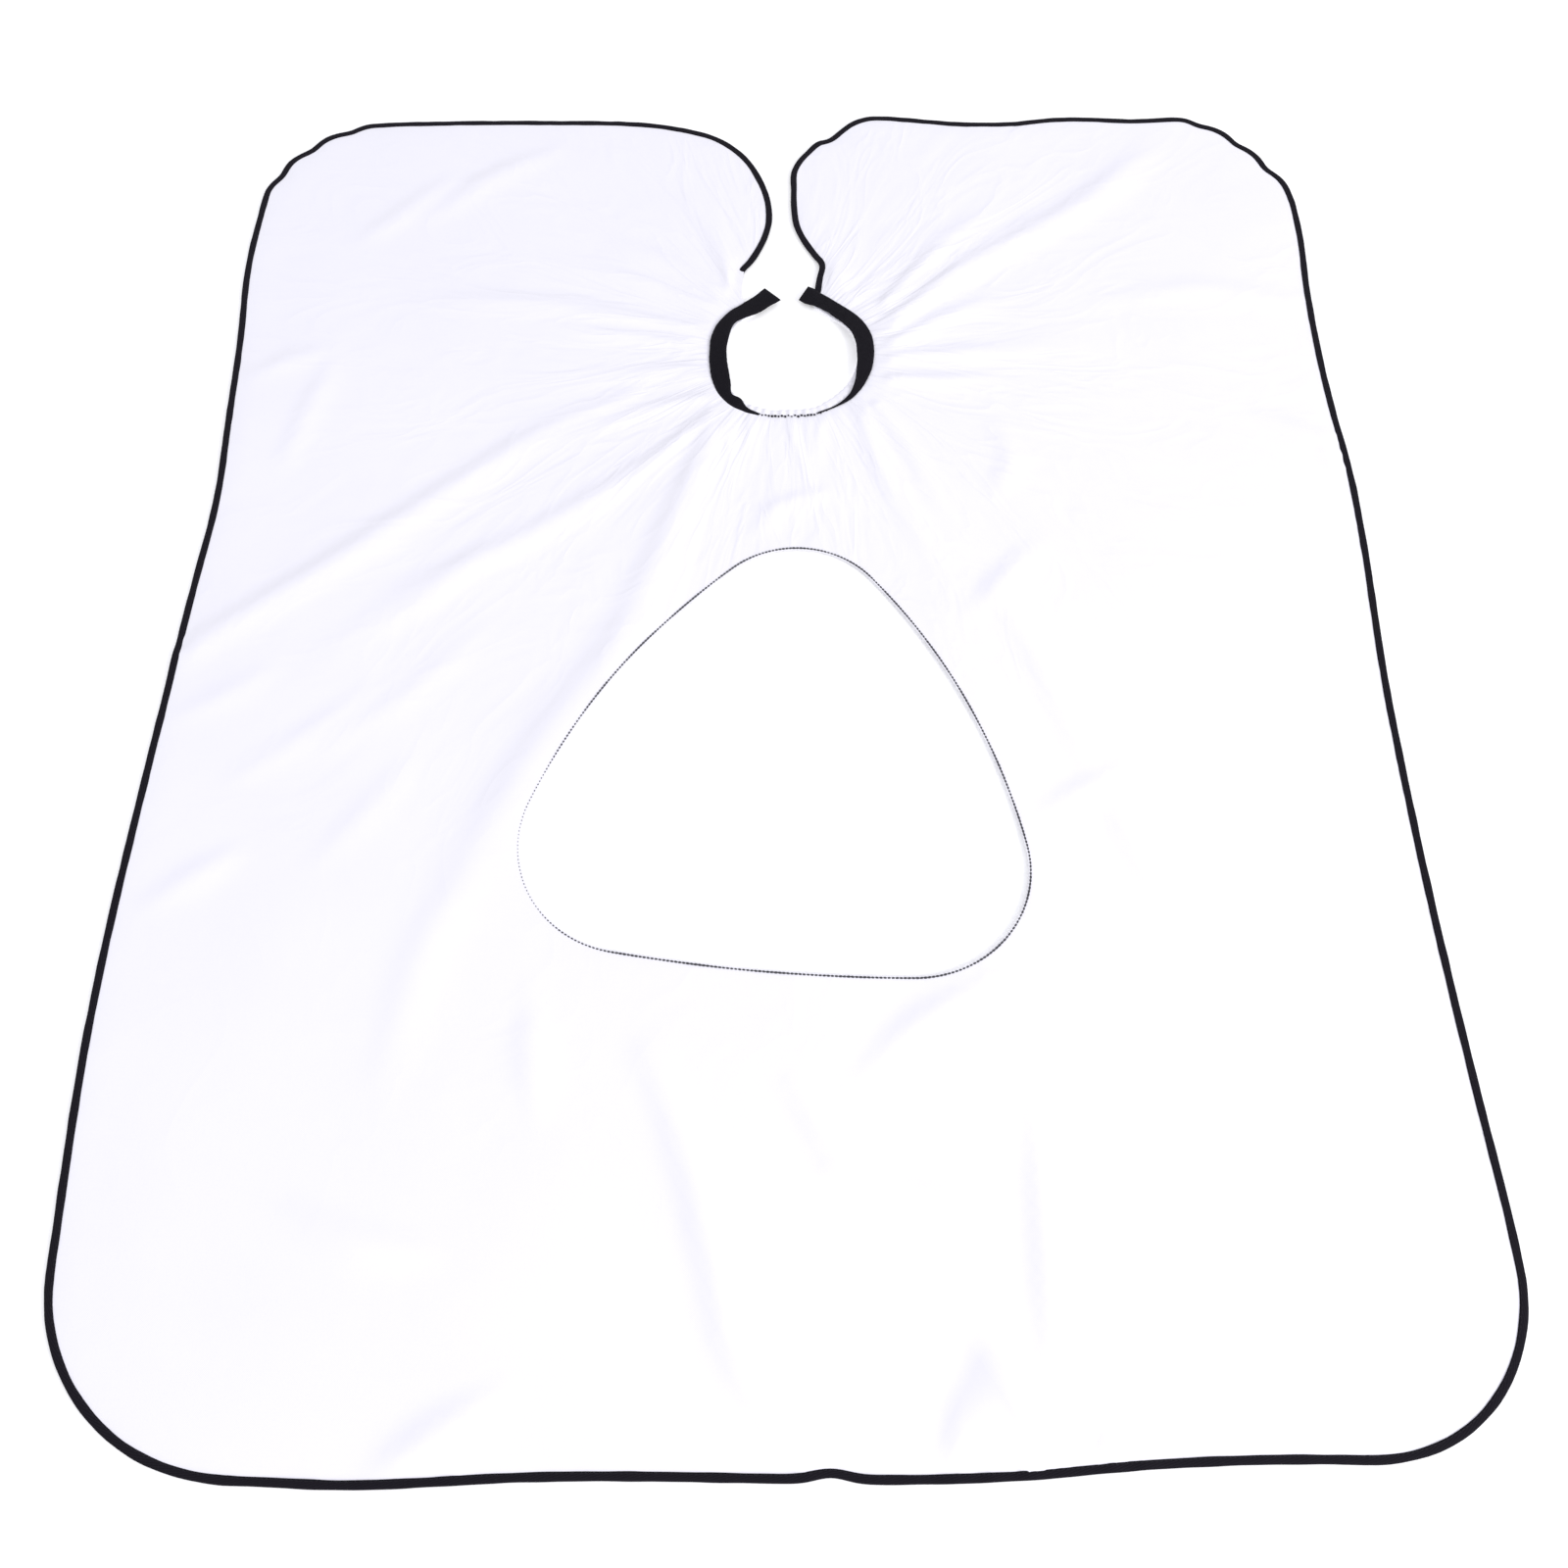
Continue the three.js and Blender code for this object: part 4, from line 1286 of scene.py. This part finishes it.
def add_edge_stitches():
    given = settings().trim
    line, _middle, at, tucked = binding_line()
    shown = np.flatnonzero((tucked < 0.05) & (at < at[-1] - 6))
    track = moved_left(line, given.binding_width / MM * 0.80)[shown]
    heights = edge_heights()[shown] + given.binding_height / MM * 0.40
    stitches = stitch_run(
        "edge_stitches", np.column_stack([track, heights]) * MM, dark_thread_material(),
        given.stitch_pitch, given.stitch_pitch * EDGE_STITCH["length"], EDGE_STITCH["radius"],
    )
    bend_with_skirt(stitches)
    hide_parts("edge_thread_left", "edge_thread_right", "edge_thread_lower")
    return stitches


def band_angles(stop):
    """Angles round the neckband in degrees, short of its ends by some degrees."""
    return np.linspace(NECKLINE[0][0] - stop, NECKLINE[-1][0] + stop, 420)


def band_frame(angles, narrow):
    """The band's middle in metres, across and up, at these angles, where it is drawn this much narrower."""
    line = neck_circle(angles, -CASING_WIDTH / 2)
    line = line + (NECK / MM - line) * (-(1 - narrow)[:, None] * CASING_WIDTH / 2 / BAND_MIDDLE)
    return np.column_stack([line, band_height(np.radians(angles))]) * MM, *flat_frame(line)


def band_height(angles):
    """Height of the neckband's middle in millimetres: level at the back, drawn up at the front."""
    front = front_share(np.degrees(angles), 55, -90)
    return 2.0 + 0.5 * front + 0.35 * np.cos(23 * angles + 0.5) * front


def add_neckband():
    degrees = band_angles(0.5)
    angles = np.radians(degrees)
    wide, high = rounded_section(16, 0.6)
    front = front_share(np.degrees(angles), 52)
    pucker = 1 + (0.10 + 0.24 * front) * np.cos(67 * angles) + 0.1 * np.cos(41 * angles + 1.2)
    edge = 1 + (0.02 + 0.06 * front) * np.cos(67 * angles + 0.8)
    narrow = 1 - FRONT_SHARE * front
    centre, across, up = band_frame(degrees, narrow)
    broad = CASING_WIDTH / 2 * MM * edge * narrow
    tall = np.minimum(CASING_HEIGHT / 2 * MM * pucker, centre[:, 2] - 0.0002)
    casing = swept(
        "neck_band_casing", centre, across, up, wide[None] * broad[:, None], high[None] * tall[:, None],
        cloth_material(), wall=CASING_WALL * MM,
    )
    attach(casing, "cape")
    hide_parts("neck_casing")
    add_elastic(front, narrow)


def add_elastic(front, narrow):
    """The ribbed elastic, lying inside its casing."""
    centre, across, up = band_frame(band_angles(0.8), narrow)
    wide, high = rounded_section(18, 0.35)
    ribs = 1 + 0.18 * np.cos(wide * 5 * np.pi)
    broad = CASING_WIDTH / 2 * MM * narrow * ELASTIC_SHARE
    tall = ELASTIC_HALF * (1 - 0.2 * front)
    elastic = swept(
        "neck_elastic_strip", centre, across, up, wide[None] * broad[:, None],
        (high * ribs)[None] * tall[:, None], elastic_material(),
    )
    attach(elastic, "cape")
    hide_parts("neck_elastic")


def add_neck_seam():
    """The seam that joins band and cloth. Its stitches show at the front, where no tape covers them."""
    angles = np.linspace(NECKLINE[0][0] - 4, NECKLINE[-1][0] + 4, 620)
    front = np.exp(-(((angles + 90) / 26) ** 6))
    line = neck_circle(angles, 0.5 + 0.75 * front * np.sin(np.radians(angles) * 95))
    heights = lie(line) + 0.2 + 0.75 * front
    bunched = 0.72 + 0.28 * np.sin(np.radians(angles) * 31) * np.sin(np.radians(angles) * 13)
    seam = stitch_run(
        "neck_seam", np.column_stack([line, heights]) * MM, neck_thread_material(), **NECK_STITCH,
        thick=0.2 + 0.8 * front * bunched, seed=3,
    )
    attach(seam, "cape")
    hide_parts("neck_seam_thread")


def tape_edges(stations, step=1.6):
    """Smooth outer and inner edges of a closure tape, in metres, with points that face each other."""
    outer, inner, raised = (np.array(given, float) for given in zip(*stations))
    middle = (outer + inner) / 2
    at = travelled(middle)
    places = np.linspace(0, at[-1], round(at[-1] / step) + 1)
    every = np.column_stack([outer, inner, raised])
    made = hermite(every, at, places)
    lowest = np.maximum(TAPE_BOTTOM / MM + 0.7 + ripple(places, (37, 0.12, 0.2)), 3.9)
    return np.column_stack([made[:, :2], lowest]) * MM, made[:, 2:] * MM


def tape_frame(stations):
    outer, inner = tape_edges(stations)
    middle = (outer + inner) / 2
    across = outer - inner
    breadth = np.linalg.norm(across, axis=1)
    across /= breadth[:, None]
    along = directions(middle)
    up = np.cross(across, along)
    up *= np.sign(up[:, 2:3])
    return middle, across, up, breadth


def bend_with_tape(piece, joint, body):
    hinge = JOINTS[joint]
    place, axis = Vector(hinge["pos_m"]), Vector(hinge["axis"])
    tip = {"hook_end": HOOK_STATIONS, "loop_end": LOOP_STATIONS}[body][0][1]
    towards = axis.cross(Vector((0, 0, 1))).normalized()
    if towards.dot(Vector((tip[0] * MM, tip[1] * MM, place.z)) - place) < 0:
        towards = -towards
    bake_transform(piece)


def add_tape(kind, stations, joint, body, pile):
    given = settings().trim
    middle, across, up, breadth = tape_frame(stations)
    wide, high = rounded_section(14, 0.4)
    at = travelled(middle) / MM
    tip = 1 - 0.25 * np.exp(-at / 1.2)
    broad = breadth / 2 * (1 + ripple(at, (19, 0.012, 0.4), (6.1, 0.008, 1.3)))
    tall = given.tape_height / 2 * np.minimum(1, 0.55 + breadth / 0.02) * tip
    tape = swept(
        f"{kind}_tape_strip", middle, across, up, wide[None] * broad[:, None], high[None] * tall[:, None],
        closure_material(),
    )
    bend_with_tape(tape, joint, body)
    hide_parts(f"{kind}_tape", f"{kind}_tape_end")
    add_pile(kind, middle, across, up, breadth, joint, body, pile)
    add_tape_stitches(kind, middle, across, up, breadth)


def add_pile(kind, middle, across, up, breadth, joint, body, pile):
    """The hooks or loops, on the tape's upper face but for its woven margins."""
    full = np.flatnonzero(breadth > 0.010)[1:]
    face, columns = settings().trim.tape_height / 2, PILE_COLUMNS
    shares = np.linspace(-1, 1, columns)
    half = (breadth / 2 - PILE_MARGIN)[:, None]
    rows = [middle[i] + across[i] * half[i] * share + up[i] * face for i in full for share in shares]
    starts = [i * columns + j for i in range(len(full) - 1) for j in range(columns - 1)]
    faces = [(a, a + 1, a + columns + 1, a + columns) for a in starts]
    mesh = bpy.data.meshes.new(f"{kind}_pile_ground")
    mesh.from_pydata([tuple(p) for p in rows], [], faces)
    mesh.update()
    if np.mean([face.normal.z for face in mesh.polygons]) < 0:
        mesh.flip_normals()
    values = {"Material": pile_material(), "Seed": settings().trim.seed + len(kind), **pile}
    field = run_nodes(f"{kind}_tape_pile", add_object(f"{kind}_pile_ground", mesh), pile_tree(), values)
    bend_with_tape(field, joint, body)


def add_tape_stitches(kind, middle, across, up, breadth):
    """One line of stitches up one side of the sewn tape, round its front and back down the other."""
    end = SEWN_UNTIL[kind]
    flat = middle[:, :2] - NECK
    angle = np.degrees(np.arctan2(flat[:, 1], flat[:, 0]))
    sewn = (angle > end + 2) | (angle < 0) if kind == "hook" else angle < end - 2
    chosen = np.flatnonzero(sewn & (breadth > 0.0095))
    face = settings().trim.tape_height / 2 * 0.92
    aside = across * (breadth / 2 - 0.0014)[:, None]
    path = np.vstack([(middle + aside + up * face)[chosen], (middle - aside + up * face)[chosen][::-1]])
    stitches = stitch_run(f"{kind}_tape_stitches", path, dark_thread_material(), **TAPE_STITCH, seed=7)
    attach(stitches, "cape")
    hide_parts(f"{kind}_tape_thread")


def add_window():
    film_loop = window_edge(6.0, outward=WINDOW_OVERLAP)[:-1]
    points, triangles = flat_mesh(film_loop, None, ((9.0, 0, BEYOND),))
    x, y = points[:, 0], points[:, 1]
    gentle = 0.55 + 0.16 * np.sin(x / 31 + y / 57 + 0.8) + 0.12 * np.sin(y / 23 - x / 71)
    film = thin_sheet("window_pane", points, triangles, gentle, 0.0002, film_material())
    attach(film, "cape")
    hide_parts("window_film")
    seam_line = window_edge(2.0, outward=1.5)
    heights = lie(seam_line) + 0.30
    thick = 1 - 0.62 * np.exp(-(((seam_line[:, 0] + 198) / 62) ** 2) - ((seam_line[:, 1] + 180) / 105) ** 2)
    thick *= 1 + 0.10 * np.sin(travelled(seam_line) / 9)
    seam = stitch_run(
        "window_seam", np.column_stack([seam_line, heights]) * MM, seam_thread_material(), **WINDOW_STITCH,
        thick=thick, seed=11,
    )
    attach(seam, "cape")
    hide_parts("window_thread")
    return film, points, triangles


# ---- Stage ----


def add_camera():
    data = bpy.data.cameras.new("camera")
    data.lens = LENS
    data.sensor_width = SENSOR
    data.clip_start = 0.01
    camera = add_object("camera", data)
    down, right = math.radians(CAMERA_DOWN), math.radians(CAMERA_RIGHT)
    aim = Vector((math.sin(right) * math.cos(down), math.cos(right) * math.cos(down), -math.sin(down)))
    camera.location = CAMERA_PLACE
    camera.rotation_mode = "QUATERNION"
    camera.rotation_quaternion = aim.to_track_quat("-Z", "Y")
    bpy.context.scene.camera = camera


def add_key_light():
    data = bpy.data.lights.new("key", "AREA")
    data.size = KEY_SIZE
    data.energy = settings().stage.key_power
    data.color = KEY_COLOUR
    light = add_object("key", data)
    light.location = KEY_PLACE
    light.rotation_mode = "QUATERNION"
    light.rotation_quaternion = (-Vector(KEY_PLACE)).to_track_quat("-Z", "Y")


def add_floor():
    half = FLOOR_HALF
    mesh = bpy.data.meshes.new("floor")
    corners = [(-half, -half, 0), (half, -half, 0), (half, half, 0), (-half, half, 0)]
    mesh.from_pydata(corners, [], [(0, 1, 2, 3)])
    colour = settings().stage.floor_colour
    material, tree, shader = shader_tree("pale_floor", Roughness=0.9, Specular_IOR_Level=0.1)
    spot = add_node(tree, "ShaderNodeTexCoord").outputs["Object"]
    mottle = place_group(tree, mottle_group(), Vector=spot, Patch_Scale=0.8, Grain_Scale=30.0)
    paint = mixed(tree, mottle.outputs["Patch"], solid_colour(colour, 0.995), solid_colour(colour))
    tree.links.new(paint, shader.inputs["Base Color"])
    shader.inputs["Emission Color"].default_value = (1.0, 1.0, 1.0, 1.0)
    shader.inputs["Emission Strength"].default_value = FLOOR_GLOW
    mesh.materials.append(material)
    add_object("floor", mesh)


def add_sky():
    world = bpy.data.worlds.new("soft_studio")
    world.use_nodes = True
    back = world.node_tree.nodes["Background"]
    back.inputs["Color"].default_value = SKY_COLOUR
    back.inputs["Strength"].default_value = settings().stage.sky_strength
    bpy.context.scene.world = world


# ---- Operators ----


class CAPE_OT_stage(bpy.types.Operator):
    """Set up the floor, the soft light and the camera."""

    bl_idname = "cape.stage"
    bl_label = "Stage"

    def execute(self, context):
        add_camera()
        add_floor()
        add_sky()
        add_key_light()
        context.scene.view_settings.view_transform = "Standard"
        return {"FINISHED"}


class CAPE_OT_edge(bpy.types.Operator):
    """Make the black tape folded over the cape's edge and the stitches that hold it."""

    bl_idname = "cape.edge"
    bl_label = "Edge binding"

    def execute(self, context):
        add_binding()
        add_edge_stitches()
        return {"FINISHED"}


class CAPE_OT_neckband(bpy.types.Operator):
    """Make the gathered neckband: its casing, the elastic in it and its seam."""

    bl_idname = "cape.neckband"
    bl_label = "Neckband"

    def execute(self, context):
        add_neckband()
        add_neck_seam()
        return {"FINISHED"}


class CAPE_OT_tapes(bpy.types.Operator):
    """Make the hook tape and the loop tape that close the neck, with their pile and stitches."""

    bl_idname = "cape.tapes"
    bl_label = "Closure tapes"

    def execute(self, context):
        add_tape("hook", HOOK_STATIONS, "hook_end_lift", "hook_end", HOOKS)
        add_tape("loop", LOOP_STATIONS, "loop_end_lift", "loop_end", LOOPS)
        return {"FINISHED"}


class CAPE_OT_window(bpy.types.Operator):
    """Make the clear window and the seam round it."""

    bl_idname = "cape.window"
    bl_label = "Window"

    def execute(self, context):
        film, points, triangles = add_window()
        return {"FINISHED"}


class CAPE_OT_cloth(bpy.types.Operator):
    """Make the woven panel with its folds and gathers."""

    bl_idname = "cape.cloth"
    bl_label = "Cloth"

    def execute(self, context):
        cloth, points, triangles = add_cloth()
        return {"FINISHED"}


STEPS = (CAPE_OT_stage, CAPE_OT_edge, CAPE_OT_neckband, CAPE_OT_tapes, CAPE_OT_window, CAPE_OT_cloth)


class CAPE_PT_sidebar(bpy.types.Panel):
    """Lists the steps that build the cape and its settings."""

    bl_idname = "CAPE_PT_sidebar"
    bl_label = "Barber cape"
    bl_space_type = "VIEW_3D"
    bl_region_type = "UI"
    bl_category = "Cape"

    def draw(self, context):
        for step in STEPS:
            self.layout.operator(step.bl_idname)
        for group in (settings().cloth, settings().trim, settings().stage):
            box = self.layout.box()
            for name in group.bl_rna.properties.keys():
                if name not in ("rna_type", "name"):
                    box.prop(group, name)


CLASSES = (CapeClothSettings, CapeTrimSettings, CapeStageSettings, CapeSettings, *STEPS, CAPE_PT_sidebar)


def register():
    for made in CLASSES:
        bpy.utils.register_class(made)
    bpy.types.Scene.barber_cape = PointerProperty(type=CapeSettings)


def unregister():
    del bpy.types.Scene.barber_cape
    for made in reversed(CLASSES):
        bpy.utils.unregister_class(made)


def main():
    register()
    for step in STEPS:
        name = step.bl_idname.split(".")[1]
        if getattr(bpy.ops.cape, name)() != {"FINISHED"}:
            raise RuntimeError(f"the step {name} did not finish")


if __name__ == "__main__":
    main()
